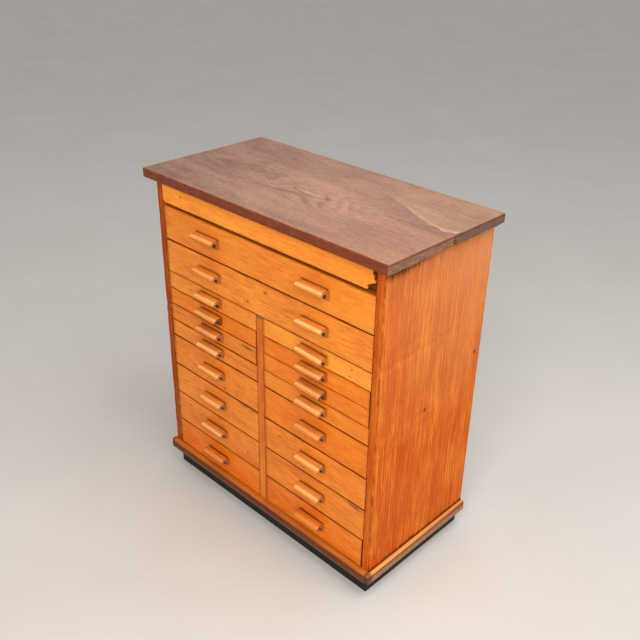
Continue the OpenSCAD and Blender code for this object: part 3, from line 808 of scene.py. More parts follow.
def oiled_walnut():
    """Walnut slab with sapwood at one corner."""
    material, tree = start_material("oiled walnut")
    notes = board_notes(tree)
    wood, normal = notes["wood"], notes["normal"]
    where = add(tree, "TexCoord", out="Object")
    x, y, z = add(tree, "SeparateXYZ", {0: where}).node.outputs

    # The eye pushes the rings apart round one point
    eye = add(tree, "VectorMath", {0: where, 1: (18 * MM, -22 * MM, 0)}, operation="SUBTRACT")
    near = add(tree, "VectorMath", {0: eye, 1: per_mm(190, 75, 0)}, operation="MULTIPLY")
    near = add(tree, "VectorMath", {0: near}, "Value", operation="LENGTH")
    near = add(
        tree, "MapRange", {"Value": near, "From Min": 0.0, "From Max": 1.0, "To Min": 1.0, "To Max": 0.0},
        interpolation_type="SMOOTHSTEP",
    )
    eye = add(tree, "VectorMath", {0: eye, 1: per_mm(46, 8, 0)}, operation="MULTIPLY")
    eye = add(tree, "VectorMath", {0: eye}, "Value", operation="LENGTH")
    curl = add(tree, "Math", {0: near, 1: 3.5}, operation="MULTIPLY")
    late = growth_rings(tree, wood, 6, 26, curl)
    late = add(tree, "Math", {0: late, 1: grain_noise(tree, wood, 200, 30)}, operation="MULTIPLY")
    strong = add(tree, "Math", {0: near, 1: 0.9, 2: 1.0}, operation="MULTIPLY_ADD")
    late = add(tree, "Math", {0: late, 1: strong}, operation="MULTIPLY")
    band = grain_noise(tree, wood, 420, 34)
    fibre = grain_noise(tree, wood, 20, 4, detail=4.0)
    cloud = grain_noise(tree, wood, 120, 45)
    share = add(tree, "Math", {0: late, 1: 0.26}, operation="MULTIPLY")
    share = add(tree, "Math", {0: band, 1: 0.22, 2: share}, operation="MULTIPLY_ADD")
    share = add(tree, "Math", {0: fibre, 1: 0.25, 2: share}, operation="MULTIPLY_ADD")
    share = add(tree, "Math", {0: cloud, 1: 0.28, 2: share}, operation="MULTIPLY_ADD")

    # The middle is painted paler than the left end and the back: a painted pool of light
    lit_middle = add(tree, "VectorMath", {0: where, 1: (60 * MM, -15 * MM, 0)}, operation="SUBTRACT")
    lit_middle = add(tree, "VectorMath", {0: lit_middle, 1: per_mm(340, 210, 0)}, operation="MULTIPLY")
    lit_middle = add(tree, "VectorMath", {0: lit_middle}, "Value", operation="LENGTH")
    lit_middle = add(
        tree, "MapRange", {"Value": lit_middle, "From Min": 0.0, "From Max": 1.1, "To Min": -0.13, "To Max": 0.18},
        interpolation_type="SMOOTHSTEP",
    )
    share = add(tree, "Math", {0: share, 1: lit_middle}, operation="ADD", use_clamp=True)
    colour = add(tree, "Mix", {0: share, 6: linear("#b98c76"), 7: linear("#6c493c")}, out=2, data_type="RGBA")

    # The eye itself is a pale lens with a thin dark outline
    lens = add(tree, "MapRange", {"Value": eye, "From Min": 0.5, "From Max": 1.0, "To Min": 0.5, "To Max": 0.0})
    colour = add(tree, "Mix", {0: lens, 6: colour, 7: linear("#c49a7e")}, out=2, data_type="RGBA")
    lid = add(tree, "Math", {0: eye, 1: 1.05}, operation="SUBTRACT")
    lid = add(tree, "Math", {0: lid}, operation="ABSOLUTE")
    lid = add(tree, "MapRange", {"Value": lid, "From Min": 0.03, "From Max": 0.18, "To Min": 0.55, "To Max": 0.0})
    colour = add(tree, "Mix", {0: lid, 6: colour, 7: linear("#553423")}, out=2, data_type="RGBA")

    # Sapwood is tan, with a pale line at its start and a greyer strip before it
    past, shows = sapwood(tree, wood, x, y)
    tan = add(tree, "Mix", {0: share, 6: linear("#c39a74"), 7: linear("#866448")}, out=2, data_type="RGBA")
    sap = add(tree, "MapRange", {"Value": past, "From Min": -1 * MM, "From Max": 9 * MM, "To Min": 0.0, "To Max": 0.6})
    sap = add(tree, "Math", {0: sap, 1: shows}, operation="MULTIPLY")
    sap = add(tree, "Math", {0: sap, 1: grain_noise(tree, wood, 90, 30, 0.2, 0.55)}, operation="MULTIPLY")
    colour = add(tree, "Mix", {0: sap, 6: colour, 7: tan}, out=2, data_type="RGBA")
    strip = add(tree, "MapRange", {"Value": past, "From Min": -38 * MM, "From Max": -4 * MM, "To Min": 0.0, "To Max": 0.34})
    before = add(tree, "MapRange", {"Value": past, "From Min": -4 * MM, "From Max": 0.0, "To Min": 1.0, "To Max": 0.0})
    strip = add(tree, "Math", {0: strip, 1: before}, operation="MULTIPLY")
    strip = add(tree, "Math", {0: strip, 1: shows}, operation="MULTIPLY")
    colour = add(tree, "Mix", {0: strip, 6: colour, 7: linear("#6f544c")}, out=2, data_type="RGBA")
    pale = add(tree, "Math", {0: past, 1: 2 * MM}, operation="SUBTRACT")
    pale = add(tree, "Math", {0: pale}, operation="ABSOLUTE")
    pale = add(
        tree, "MapRange", {"Value": pale, "From Min": 0.5 * MM, "From Max": 7 * MM, "To Min": 1.0, "To Max": 0.0},
        interpolation_type="SMOOTHSTEP",
    )
    clear = add(
        tree, "MapRange", {"Value": x, "From Min": 115 * MM, "From Max": 340 * MM, "To Min": 0.12, "To Max": 0.8},
    )
    pale = add(tree, "Math", {0: pale, 1: clear}, operation="MULTIPLY")
    pale = add(tree, "Math", {0: pale, 1: shows}, operation="MULTIPLY")
    pale = add(tree, "Math", {0: pale, 1: grain_noise(tree, wood, 24, 7, 0.3, 0.55)}, operation="MULTIPLY")
    colour = add(tree, "Mix", {0: pale, 6: colour, 7: linear("#d6ab85")}, out=2, data_type="RGBA")

    # The front right corner is warmer
    warm = add(tree, "Math", {0: x, 1: y}, operation="SUBTRACT")
    warm = add(tree, "MapRange", {"Value": warm, "From Min": 260 * MM, "From Max": 480 * MM, "To Min": 0.0, "To Max": 0.5})
    warm = add(tree, "Math", {0: warm, 1: cloud}, operation="MULTIPLY")
    colour = add(tree, "Mix", {0: warm, 6: colour, 7: linear("#c78d68")}, out=2, data_type="RGBA")

    # Pores are drawn about three times as wide as real ones, so that they show from this far
    pore = grain_noise(tree, wood, 7, 1.5, 0.5, 0.7, 2.0)
    pore = add(tree, "Math", {0: pore, 1: 0.36}, operation="MULTIPLY")
    colour = add(tree, "Mix", {0: pore, 6: colour, 7: linear("#55321f")}, out=2, data_type="RGBA")

    # Long edges and ends
    upward = facing(tree, normal, (0, 0, 1))
    side = add(tree, "MapRange", {"Value": upward, "From Min": 0.7, "From Max": 0.98, "To Min": 1.0, "To Max": 0.0})
    edge = add(tree, "Mix", {0: fibre, 6: linear("#86401d"), 7: linear("#602a14")}, out=2, data_type="RGBA")
    end_grain = add(tree, "VectorMath", {0: where, 1: per_mm(0, 24, 4)}, operation="MULTIPLY")
    end_grain = add(tree, "TexNoise", {"Vector": end_grain, "Scale": 1.0, "Detail": 3.0})
    end_grain = add(tree, "MapRange", {"Value": end_grain, "From Min": 0.3, "From Max": 0.7})
    sawn_end = add(tree, "Mix", {0: end_grain, 6: linear("#986b50"), 7: linear("#6c4936")}, out=2, data_type="RGBA")
    old_end = add(tree, "Mix", {0: end_grain, 6: linear("#7c5a49"), 7: linear("#573d31")}, out=2, data_type="RGBA")
    past_chip = add(tree, "MapRange", {"Value": y, "From Min": CHIP_Y[0], "From Max": CHIP_Y[-1]})
    sawn_end = add(tree, "Mix", {0: past_chip, 6: sawn_end, 7: old_end}, out=2, data_type="RGBA")
    arris = add(tree, "SeparateXYZ", {0: notes["place"]}).node.outputs[2]
    arris = add(tree, "MapRange", {"Value": arris, "From Min": 5 * MM, "From Max": 9 * MM, "To Min": 0.0, "To Max": 0.8})
    sawn_end = add(tree, "Mix", {0: arris, 6: sawn_end, 7: linear("#4f2c1d")}, out=2, data_type="RGBA")
    end = facing(tree, normal, notes["grain"])
    end = add(tree, "MapRange", {"Value": end, "From Min": 0.5, "From Max": 0.8})
    edge = add(tree, "Mix", {0: end, 6: edge, 7: sawn_end}, out=2, data_type="RGBA")
    colour = add(tree, "Mix", {0: side, 6: colour, 7: edge}, out=2, data_type="RGBA")
    rough = add(tree, "MapRange", {"Value": fibre, "To Min": 0.44, "To Max": 0.6})
    relief = add(tree, "Math", {0: fibre, 1: pore}, operation="SUBTRACT")
    bump = add(tree, "Bump", {"Strength": 0.3, "Distance": 0.25 * MM, "Height": relief})
    surface = add(tree, "BsdfPrincipled", {
        "Base Color": colour, "Roughness": rough, "Normal": bump, "IOR": 1.5,
        "Specular IOR Level": 0.25,
    })
    add(tree, "OutputMaterial", {"Surface": surface})
    return material


# %% [markdown]
# ## Sizes from the frame
# The pulls all have one size, and the finishes need it, so it is read from the first of them.

# %% Sizes that several pieces share, and the finishes
pull_low, pull_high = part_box("left_1_pull")
PULL_L = pull_high.x - pull_low.x
PULL_H = pull_high.z - pull_low.z
COLUMN_X = (pull_low.x + pull_high.x) / -2
GROOVE_Z = 5.5 * MM
CHIP_Y = (7 * MM, 10 * MM, 15 * MM, 19 * MM)
PINE = varnished_pine("amber varnished pine", [pine_dirt_and_light], 1.0)
PANEL_PINE = varnished_pine("amber varnished pine, hung with dirt", [pine_dirt_and_light, side_fringe], 0.25)
BARE_PINE = plain_wood("bare planed pine", "#ddb583", "#b68449", 5, 0.6)
PLYWOOD = plain_wood("bare plywood", "#c9a172", "#9f7344", 9, 0.45)
STAINED_PINE = stained_pine()
PAINT = black_paint()
STEEL = steel()
WALNUT = oiled_walnut()
print("finishes:", [material.name for material in bpy.data.materials])

# %% [markdown]
# ## The top board
# One thick slab with rounded edges. The lower edge of its right end is ragged and lost a chip
# long ago, so the mesh is cut across in many places there and some points are pushed in.

# %% Top slab
CHIP_DEEP = 7 * MM
SLAB_EASE = 4 * MM
RAGGED = 1.6 * MM
low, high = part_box("top_board")
bm = workpiece()
ease(bm, list({edge for vert in block(bm, low, high) for edge in vert.link_edges}), SLAB_EASE, 5)
crosscut(bm, 1, CHIP_Y)
crosscut(bm, 1, steps(low.y + 2 * SLAB_EASE, high.y - 2 * SLAB_EASE, 7 * MM))
for vert in bm.verts:
    if vert.co.x > high.x - 1.2 * SLAB_EASE and vert.co.z < low.z + 1.2 * SLAB_EASE:
        chipped = CHIP_Y[0] + MM < vert.co.y < CHIP_Y[-1] - MM
        dent = CHIP_DEEP if chipped else RAGGED * worn(vert.co, 11 * MM, 3)
        vert.co += Vector((-dent / 2, 0, dent))
stamp(bm, bm.verts, low, high, sawn("XZY", pith=(-70, 15), lean=(0.04, 0.05)))
piece(bm, "top_slab", WALNUT, "carcass", "walnut", "top_board")
print("top slab:", [round(length / MM) for length in high - low])

# %% [markdown]
# ## Side panels, divider and apron
# The side panels have a rebate for the back, so they are swept upwards from their plan. The
# divider is swept sideways from its profile, with a notch under the lower wide drawer, and the
# tip of its front edge is worn: splitting the mesh there gives the tip its own colour. The
# apron's right end has broken off along the grain, and its outline follows the break.

# %% Side panels
back_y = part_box("back_panel")[0].y
PANEL_WEAR = {"left": 0.8 * MM, "right": 1.8 * MM}
# How dark each panel's stile is painted: a painted shade, stronger on the left.
PANEL_EDGE_SHADE = {"left": 0.62, "right": 0.15}
PANEL_KNOTS = {"left": [(68, 262)], "right": [(-1, 409), (157, 481)]}
for side, sign in (("left", -1), ("right", 1)):
    low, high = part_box(f"{side}_side_panel")
    outer = high.x if sign > 0 else low.x
    inner = low.x if sign > 0 else high.x
    shoulder = outer - sign * (high.x - low.x) / 2
    outline = [
        (inner, low.y, low.z), (outer, low.y, low.z), (outer, high.y, low.z),
        (shoulder, high.y, low.z), (shoulder, back_y, low.z), (inner, back_y, low.z),
    ]
    bm = workpiece()
    swept(bm, outline, Vector((0, 0, high.z - low.z)))
    crosscut(bm, 2, steps(low.z, high.z, 14 * MM))
    for vert in bm.verts:
        if abs(vert.co.x - outer) < 1.6 * MM and vert.co.y < low.y + 1.6 * MM:
            dent = PANEL_WEAR[side] * worn(vert.co, 16 * MM, sign)
            vert.co += Vector((-sign * dent, dent, 0))
    knots = [(outer / MM, y, z) for y, z in PANEL_KNOTS[side]]
    cut = sawn(
        "ZXY", pith=(90, -240), fine=0.8, figure=1.2, red=0.37, light=0.945, grime=0.8,
        edge=PANEL_EDGE_SHADE[side], knots=knots, knot_r=3.5, fringe=(27, 12, 0), fade=(0.06, 0.38),
    )
    stamp(bm, bm.verts, low, high, cut)
    piece(bm, f"{side}_panel", PANEL_PINE, "carcass", "varnished_pine", f"{side}_side_panel")

# %% Divider
low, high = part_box("centre_divider")
dust_low, dust_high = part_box("dust_board")
notch_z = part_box("left_1_drawer")[1].z
CAP_H = 5 * MM
outline = [
    (low.x, low.y, low.z), (low.x, high.y, low.z), (low.x, high.y, high.z),
    (low.x, dust_low.y, high.z), (low.x, dust_low.y, notch_z), (low.x, low.y, notch_z),
]
bm = workpiece()
swept(bm, outline, Vector((high.x - low.x, 0, 0)))
cut = sawn("ZXY", pith=(60, 90), fine=0.8, figure=0.6, red=0.45, edge=0.15)
cap_z = notch_z - CAP_H
crosscut(bm, 2, [cap_z])
bmesh.ops.split_edges(bm, edges=[e for e in bm.edges if all(abs(v.co.z - cap_z) < 0.01 * MM for v in e.verts)])
stamp(bm, bm.verts, low, high, cut)
touch_and_light = bm.verts.layers.float_vector["touch_and_light"]
for face in bm.faces:
    if cap_z < face.calc_center_median().z < notch_z:
        for vert in face.verts:
            vert[touch_and_light] = Vector((0.4, 0.25, 0))
piece(bm, "divider", PINE, "carcass", "varnished_pine", "centre_divider")

# %% Apron
low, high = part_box("apron")
BREAK_DEEP = 7 * MM
BREAK = (
    (287, 0), (290.5, 4), (286.5, 8), (296, 13), (303, 16.5), (308.5, 20), (302, 24), (304, 29),
    (299, 34), (300.5, 40), (295.5, 46),
)
outline = [(low.x, low.y, high.z), (low.x, low.y, low.z + 6 * MM), (low.x + 9 * MM, low.y, low.z)]
outline += [(x * MM, low.y, low.z + z * MM) for x, z in BREAK]
outline += [(294 * MM, low.y, high.z)]
bm = workpiece()
swept(bm, outline, Vector((0, BREAK_DEEP, 0)))
cut = sawn("XYZ", pith=(70, 20), red=0.06, light=1.17, figure=0.3, edge=0.7, knots=[(-246, low.y / MM, 745)], knot_r=1.6)
stamp(bm, bm.verts, low, high, cut)
# The wood left behind the break is painted very dark: a painted shade in the recess.
board(bm, Vector((low.x, low.y + BREAK_DEEP, low.z)), high, sawn("XYZ", red=0.6, light=0.2, figure=0.9))
piece(bm, "apron_board", PINE, "carcass", "varnished_pine", "apron")
print("carcass boards are in place")

# %% [markdown]
# ## Base board and plinth
# The base is one board with square lower edges and rounded upper ones. Each end has a shallow
# groove under its upper edge, made by cutting the mesh at three heights and pressing the middle
# cut in.

# %% Base board
BASE_CORNER = 5 * MM
BASE_TOP = 4 * MM
BASE_FOOT = 1 * MM
GROOVE_HALF = 2.5 * MM
GROOVE_DEEP = 1.5 * MM
low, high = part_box("base_board")
bm = workpiece()
block(bm, low, high)
upright = [e for e in bm.edges if abs(e.verts[0].co.z - e.verts[1].co.z) > high.z - low.z - MM]
ease(bm, [e for e in upright if e.verts[0].co.y < 0], BASE_CORNER, 4)
for level, radius in ((high.z, BASE_TOP), (low.z, BASE_FOOT)):
    rim = [e for e in bm.edges if all(abs(v.co.z - level) < 0.1 * MM for v in e.verts)]
    ease(bm, [e for e in rim if min(v.co.y for v in e.verts) < high.y - MM], radius, 3)
groove_z = (low.z + high.z) / 2 + GROOVE_Z
crosscut(bm, 2, [groove_z - GROOVE_HALF, groove_z, groove_z + GROOVE_HALF])
crosscut(bm, 1, [low.y + 2 * BASE_CORNER])
for vert in bm.verts:
    on_end = abs(vert.co.x) > high.x - 0.1 * MM and vert.co.y > low.y + BASE_CORNER + MM
    if on_end and abs(vert.co.z - groove_z) < 0.1 * MM:
        vert.co.x -= math.copysign(GROOVE_DEEP, vert.co.x)
stamp(bm, bm.verts, low, high, sawn("XZY", pith=(60, 30)))
piece(bm, "base_moulding", STAINED_PINE, "carcass", "stained_pine", "base_board")

# %% Plinth
for side in ("front", "back", "left", "right"):
    bm = workpiece()
    board(bm, *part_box(f"plinth_{side}"), sawn("XYZ"), 1.2 * MM)
    piece(bm, f"plinth_{side}_board", PAINT, "carcass", "black_paint", f"plinth_{side}")
print("base and plinth reach", round(high.z / MM), "mm above the floor")

# %% [markdown]
# ## Back, rails and runners
# Nobody sees these boards while the drawers are shut. Each drawer rides on two strips of bare
# pine. The frame gives one box round all the strips of a panel, so every strip is placed from
# the drawer that runs on it.

# %% Back, rail and dust board
for node, cut, material, slot in (
    ("back_panel", sawn("ZYX", pith=(30, 400), fine=0.5), PLYWOOD, "plywood"),
    ("dust_board", sawn("XZY", pith=(30, 400), fine=0.5), PLYWOOD, "plywood"),
    ("back_rail", sawn("XYZ", pith=(50, 40)), BARE_PINE, "raw_pine"),
):
    bm = workpiece()
    board(bm, *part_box(node), cut)
    piece(bm, f"{node}_board", material, "carcass", slot, node)

# %% Runner strips and cleats
RUNNER_LIFT = 1 * MM
RUNNER_H = 6 * MM
ROWS = range(1, 9)
for node, drawers in (
    ("left_runners", [f"left_{row}" for row in ROWS] + ["wide_1"]),
    ("divider_left_runners", [f"left_{row}" for row in ROWS]),
    ("divider_right_runners", [f"right_{row}" for row in ROWS]),
    ("right_runners", [f"right_{row}" for row in ROWS] + ["wide_1"]),
):
    low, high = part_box(node)
    bm = workpiece()
    for drawer in drawers:
        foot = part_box(f"{drawer}_drawer")[0].z + RUNNER_LIFT
        corner = Vector((high.x, high.y, foot + RUNNER_H))
        board(bm, Vector((low.x, low.y, foot)), corner, sawn("YXZ", pith=(40, 10)), 0.6 * MM)
    piece(bm, f"{node}_strips", BARE_PINE, "carcass", "raw_pine", node)

low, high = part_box("top_cleats")
cleat_w = high.z - low.z
bm = workpiece()
for left in (low.x, high.x - cleat_w):
    corner = Vector((left + cleat_w, high.y, high.z))
    board(bm, Vector((left, low.y, low.z)), corner, sawn("YXZ", pith=(40, 10)), 0.6 * MM)
piece(bm, "top_cleat_strips", BARE_PINE, "carcass", "raw_pine", "top_cleats")
print("cleats are", round(cleat_w / MM), "mm square")

# %% [markdown]
# ## Drawers
# A drawer is a varnished front with a light box of thin boards behind it. The front is what the
# eye meets, so each of the eighteen has its own cut: how red and how light the varnish is, how
# strong its figure is and where its knots lie, as the photograph shows them. Some fronts have
# been planed to fit and are a little short at the right end or low at the top.

# %% Drawer fronts and boxes
FRONT_T = 18 * MM
BOX_T = 10 * MM
BOTTOM_T = 4 * MM
BOX_GAP = 0.5 * MM
RIM_DROP = 3 * MM
RUN_GAP = 0.2 * MM
GLUE = 0.1 * MM
FRONT_EASE = 1.1 * MM
FRONT_WEAR = 0.7 * MM
FRONT_TRIM = 1.2 * MM
# edge is how dark each front's narrow faces in the gaps are painted, a painted shade; 0.85 where it is not given.
FRONTS = {
    "wide_1": dict(red=0.25, light=1.01, figure=0.4, edge=0.6),
    "wide_2": dict(red=0.08, light=1.07, figure=0.6, low=0.8, knots=[(-35, -152, 574), (21, -152, 614)], knot_r=2.4),
    "left_1": dict(red=0.15, light=1.04, figure=0.4, low=-0.6, edge=0.6),
    "left_2": dict(red=0.6, light=0.96, figure=0.3, short=2.2, low=-0.5, edge=0.7),
    "left_3": dict(red=0.2, figure=0.8, short=2.2, low=-0.3, scuff=(-46, -152, 459)),
    "left_4": dict(red=0.2, figure=0.5),
    "left_5": dict(red=0.28, light=1.03, figure=0.55, low=0.8, knots=[(-123, -152, 317)], knot_r=2.5),
    "left_6": dict(red=0.2, light=1.04, figure=0.6, low=0.8, scuff=(-45, -152, 301)),
    "left_7": dict(red=0.25, light=1.0, figure=0.6, knots=[(-50, -152, 174), (-261, -152, 204)], knot_r=2.0),
    "left_8": dict(red=0.75, light=0.95, figure=0.3),
    "right_1": dict(
        red=0.0, light=1.08, figure=0.25, low=-0.4, edge=0.7, knots=[(256, -152, 522), (260, -152, 539)], knot_r=1.4,
    ),
    "right_2": dict(red=0.6, light=0.97, figure=0.25, short=2.2, low=-0.5, edge=0.65),
    "right_3": dict(red=0.5, light=0.98, figure=0.3, short=2.2, low=-0.7, edge=0.55),
    "right_4": dict(red=0.35, figure=0.4, low=-0.6, edge=0.6),
    "right_5": dict(red=0.6, light=0.97, figure=0.3, low=0.8),
    "right_6": dict(red=0.3, figure=0.5, low=0.8, knots=[(59, -152, 278)], knot_r=2.0),
    "right_7": dict(red=0.25, light=1.02, figure=0.6, low=0.6, scuff=(278, -152, 218)),
    "right_8": dict(red=0.6, light=0.97, figure=0.5, low=0.6, short=2.4),
}


def drawer_front(name, low, high, short=0.0, low_top=0.0, **notes):
    """The varnished board that the pulls sit on, with worn long edges."""
    low = low + Vector((FRONT_TRIM, 0, 0))
    corner = Vector((high.x - short * MM, low.y + FRONT_T, high.z - low_top * MM))
    grip = COLUMN_X if name.startswith("wide") else 0.0
    pith = (dice.uniform(25, 110), dice.uniform(-70, 70))
    lean = (dice.uniform(-0.1, 0.1), dice.uniform(-0.04, 0.04))
    cut = sawn("XYZ", pith=pith, lean=lean, grip=grip, **{"edge": 0.85, **notes})
    bm = workpiece()
    edges = list({edge for vert in block(bm, low, corner) for edge in vert.link_edges})
    ease(bm, edges, FRONT_EASE, 3)
    crosscut(bm, 0, steps(low.x, corner.x, 18 * MM))
    for vert in bm.verts:
        dent = FRONT_WEAR * worn(vert.co, 30 * MM, cut["start"])
        if vert.co.z > corner.z - FRONT_EASE:
            vert.co.z -= dent
        elif vert.co.z < low.z + FRONT_EASE:
            vert.co.z += dent
    stamp(bm, bm.verts, low, corner, cut)
    piece(bm, f"{name}_front", PINE, name, "varnished_pine", f"{name}_drawer")


def drawer_box(name, low, high):
    """Two sides, a back and a thin bottom behind the front."""
    left, right = low.x + BOX_GAP, high.x - BOX_GAP
    start = low.y + FRONT_T + GLUE
    floor_z = low.z + RUNNER_LIFT + RUNNER_H + RUN_GAP
    wall_z = floor_z + BOTTOM_T + GLUE
    rim_z = high.z - RIM_DROP
    bm = workpiece()
    for wall in (left, right - BOX_T):
        corner = Vector((wall + BOX_T, high.y, rim_z))
        board(bm, Vector((wall, start, wall_z)), corner, sawn("YXZ", pith=(50, dice.uniform(-60, 60))))
    corner = Vector((right - BOX_T - GLUE, high.y, rim_z))
    board(bm, Vector((left + BOX_T + GLUE, high.y - BOX_T, wall_z)), corner, sawn("XYZ", pith=(45, 20)))
    piece(bm, f"{name}_box", BARE_PINE, name, "raw_pine", f"{name}_drawer")
    bm = workpiece()
    corner = Vector((right, high.y, floor_z + BOTTOM_T))
    board(bm, Vector((left, start, floor_z)), corner, sawn("XZY", pith=(20, 300), fine=0.5), 0.4 * MM)
    piece(bm, f"{name}_bottom", PLYWOOD, name, "plywood", f"{name}_drawer")


for name, notes in FRONTS.items():
    low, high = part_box(f"{name}_drawer")
    trimmed = dict(notes)
    low_top = trimmed.pop("low", 0.0)
    drawer_front(name, low, high, low_top=low_top, **trimmed)
    drawer_box(name, low, high)
print("drawers:", len(FRONTS))

# %% [markdown]
# ## Finger pulls
# Every pull is the same moulding, sawn into short lengths: a leg against the front, a hood with a
# round nose and a cove underneath for the fingertips. Its section is a ring of points: the cove is
# half a circle and the nose a quarter of an ellipse. One extrusion along the grain does the rest,
# and both ends are then domed. The cove, the seam at the back and the underside of the lip are
# painted dark, partly dirt from hands and partly painted shade; the nose is rubbed pale and
# carries a painted highlight; each vertex notes how much.

# %% Pull moulding
LEG_T = 7 * MM
LIP_T = 6 * MM
LIP_RISE = 9 * MM
HOOD_T = 5 * MM
NOSE_L = 15 * MM
ARRIS_SOIL = 0.5
DOME_L = 7 * MM
DOME_H = 2.8 * MM
DOME_CUTS = (0.5 * MM, 1.3 * MM, 2.6 * MM, 4.4 * MM, DOME_L)
TILT = {"right_1_pull": 3.0}
SAG = {"right_1_pull": 2.5}
PULL_RED = {"left_8_pull": 0.55, "right_8_pull": 0.55}
# How pale each pull's nose is painted: rubbed varnish and a painted highlight.
PULL_RUB_AND_HIGHLIGHT = {
    "wide_1_left_pull": 0.6, "wide_1_right_pull": 0.8, "wide_2_left_pull": 0.5, "wide_2_right_pull": 0.9,
    "left_4_pull": 0.85, "left_7_pull": 0.7, "left_8_pull": 0.25, "right_1_pull": 0.9,
    "right_4_pull": 0.75, "right_5_pull": 0.4, "right_6_pull": 0.75, "right_8_pull": 0.25,
}
PULL_END = {
    "wide_1_right_pull": 0.14, "wide_2_left_pull": 0.2, "wide_2_right_pull": 0.2, "left_2_pull": 0.7,
    "right_1_pull": 0.14, "right_2_pull": 0.4, "right_3_pull": 0.65, "right_4_pull": 0.16,
}


def arc(centre, half_sizes, start, stop, count):
    """Points along part of an ellipse, from one angle to another in degrees."""
    turns = [math.radians(start + (stop - start) * i / count) for i in range(count + 1)]
    return [(centre[0] + half_sizes[0] * math.cos(t), centre[1] + half_sizes[1] * math.sin(t)) for t in turns]


def pull_section(reach, height):
    """Corners of a pull's end as (distance from the front, height above its foot)."""
    cove_r = (reach - LEG_T - LIP_T) / 2
    cove = (LEG_T + cove_r, height - HOOD_T - cove_r)
    foot = [(0, 0.6 * MM), (0.6 * MM, 0), (LEG_T - 1.2 * MM, 0), (LEG_T, 1.2 * MM)]
    lip = [(reach - LIP_T + 0.6 * MM, LIP_RISE), (reach - 1.2 * MM, LIP_RISE)]
    nose = arc((reach - NOSE_L, LIP_RISE), (NOSE_L, height - LIP_RISE), 5, 90, 10)
    crown = [(6 * MM, height), (2 * MM, height), (0.6 * MM, height - 0.2 * MM), (0, height - 0.8 * MM)]
    return foot + arc(cove, (cove_r, cove_r), 180, 10, 8) + lip + nose + crown


def pull_blank(low, high):
    """The moulding of one pull, still with square ends."""
    bm = workpiece()
    section = pull_section(high.y - low.y, high.z - low.z)
    bm.faces.new([bm.verts.new((low.x, high.y - out, low.z + rise)) for out, rise in section])
    grown = bmesh.ops.extrude_face_region(bm, geom=bm.faces[:])["geom"]
    moved = [g for g in grown if isinstance(g, bmesh.types.BMVert)]
    bmesh.ops.translate(bm, vec=(high.x - low.x, 0, 0), verts=moved)
    bmesh.ops.recalc_face_normals(bm, faces=bm.faces)
    crosscut(bm, 0, [low.x + t for t in DOME_CUTS] + [high.x - t for t in DOME_CUTS])
    return bm


def dome_ends(bm, low, high):
    """Bring the top and the nose down at both ends, and shade all but the sharp edges smoothly."""
    for vert in bm.verts:
        inwards = min(vert.co.x - low.x, high.x - vert.co.x)
        if inwards < DOME_L:
            drop = DOME_H * (1 - math.sqrt(1 - (1 - inwards / DOME_L) ** 2))
            height = (vert.co.z - low.z) / (high.z - low.z)
            reach = (high.y - vert.co.y) / (high.y - low.y)
            vert.co += Vector((0, 0.5 * drop * reach, -drop * height))
    for face in bm.faces:
        face.smooth = True
    for edge in bm.edges:
        edge.smooth = edge.calc_face_angle() < math.radians(40)


def progress(value, start, stop):
    """How far a value has come from a start to a stop, between 0 and 1."""
    return max(0.0, min(1.0, (value - start) / (stop - start)))


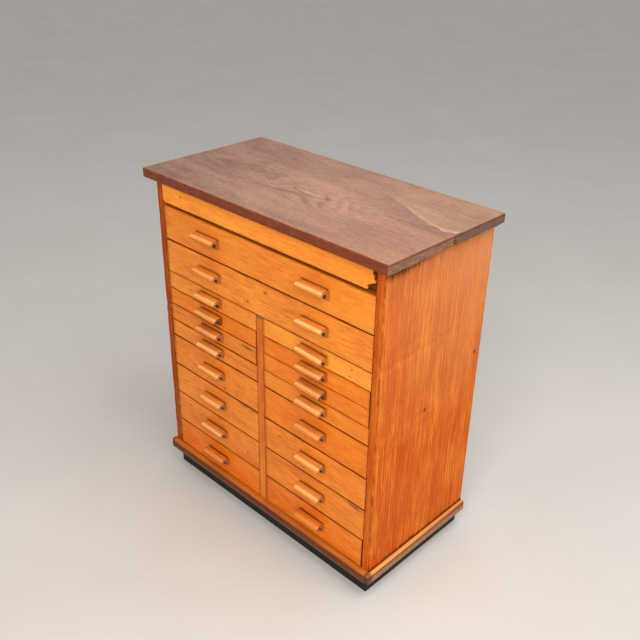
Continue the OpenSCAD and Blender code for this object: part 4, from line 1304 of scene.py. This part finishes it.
def note_touch_and_light(bm, low, high, rub_and_highlight, end_soil):
    """Write where a pull that still has square ends is soiled and painted dark as shade, and where it is rubbed and
    carries a painted highlight.
    """
    touch_and_light = bm.verts.layers.float_vector["touch_and_light"]
    for vert in bm.verts:
        out, rise = high.y - vert.co.y, vert.co.z - low.z
        # The cove, the seam at the wall and the underside of the lip are painted dark: partly dirt, partly painted
        # shade.
        in_cove = LEG_T - 0.2 * MM < out < high.y - low.y - LIP_T + 0.7 * MM and rise < PULL_H - HOOD_T + 0.2 * MM
        at_wall = out < 2.5 * MM and rise > PULL_H - 4 * MM
        under_lip = out > LEG_T and rise < LIP_RISE + 1.2 * MM
        soil_and_shade = 0.95 if in_cove else 0.88 if at_wall else 0.45 if under_lip else 0.0
        inwards = min(vert.co.x - low.x, high.x - vert.co.x)
        if inwards < 0.3 * MM:
            soil_and_shade = end_soil
        elif inwards < 0.7 * MM:
            soil_and_shade = max(soil_and_shade, ARRIS_SOIL)
        # The pale line along the nose is a painted highlight over rubbed varnish.
        crest_highlight = progress(out, 15 * MM, 18 * MM) * (1 - progress(out, 20.5 * MM, 22.8 * MM))
        vert[touch_and_light] = Vector((soil_and_shade, rub_and_highlight * (0.08 + 0.85 * crest_highlight), 3 * MM))


def pull(name, body):
    """One pull with a round nose and a finger cove."""
    low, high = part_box(name)
    bm = pull_blank(low, high)
    red = PULL_RED.get(name, 0.12) + dice.uniform(-0.1, 0.1)
    rub_and_highlight = PULL_RUB_AND_HIGHLIGHT.get(name, dice.uniform(0.45, 0.7))
    pith = (dice.uniform(30, 60), dice.uniform(-30, 30))
    # A pull with more painted highlight on its nose is also painted lighter all over.
    cut = sawn("XYZ", pith=pith, red=red, light=0.87 + 0.12 * rub_and_highlight, figure=0.9, grime=0.3, edge=0.0)
    stamp(bm, bm.verts, low, high, cut)
    note_touch_and_light(bm, low, high, rub_and_highlight, PULL_END.get(name, dice.uniform(0.2, 0.35)))
    dome_ends(bm, low, high)
    tilt = math.radians(TILT.get(name, dice.uniform(-0.7, 0.7)))
    bmesh.ops.rotate(bm, cent=(low + high) / 2, matrix=Matrix.Rotation(tilt, 3, "Y"), verts=bm.verts)
    bmesh.ops.translate(bm, vec=(0, 0, -SAG.get(name, 0) * MM), verts=bm.verts)
    piece(bm, f"{name}_moulding", PINE, body, "varnished_pine", name)


for name in FRONTS:
    pulls = [f"{name}_left_pull", f"{name}_right_pull"] if name.startswith("wide") else [f"{name}_pull"]
    for node in pulls:
        pull(node, name)
print("a pull is", round(PULL_L / MM), "mm long and", round(PULL_H / MM), "mm high")

# %% [markdown]
# ## Screws and nails
# The fasteners keep their solids, because their shapes are right. They only need their finish.

# %% Steel on the fasteners
for node in ("top_screws", "base_screws", "back_nails"):
    nodes[node].data.materials.clear()
    nodes[node].data.materials.append(STEEL)
print("steel on the fasteners")
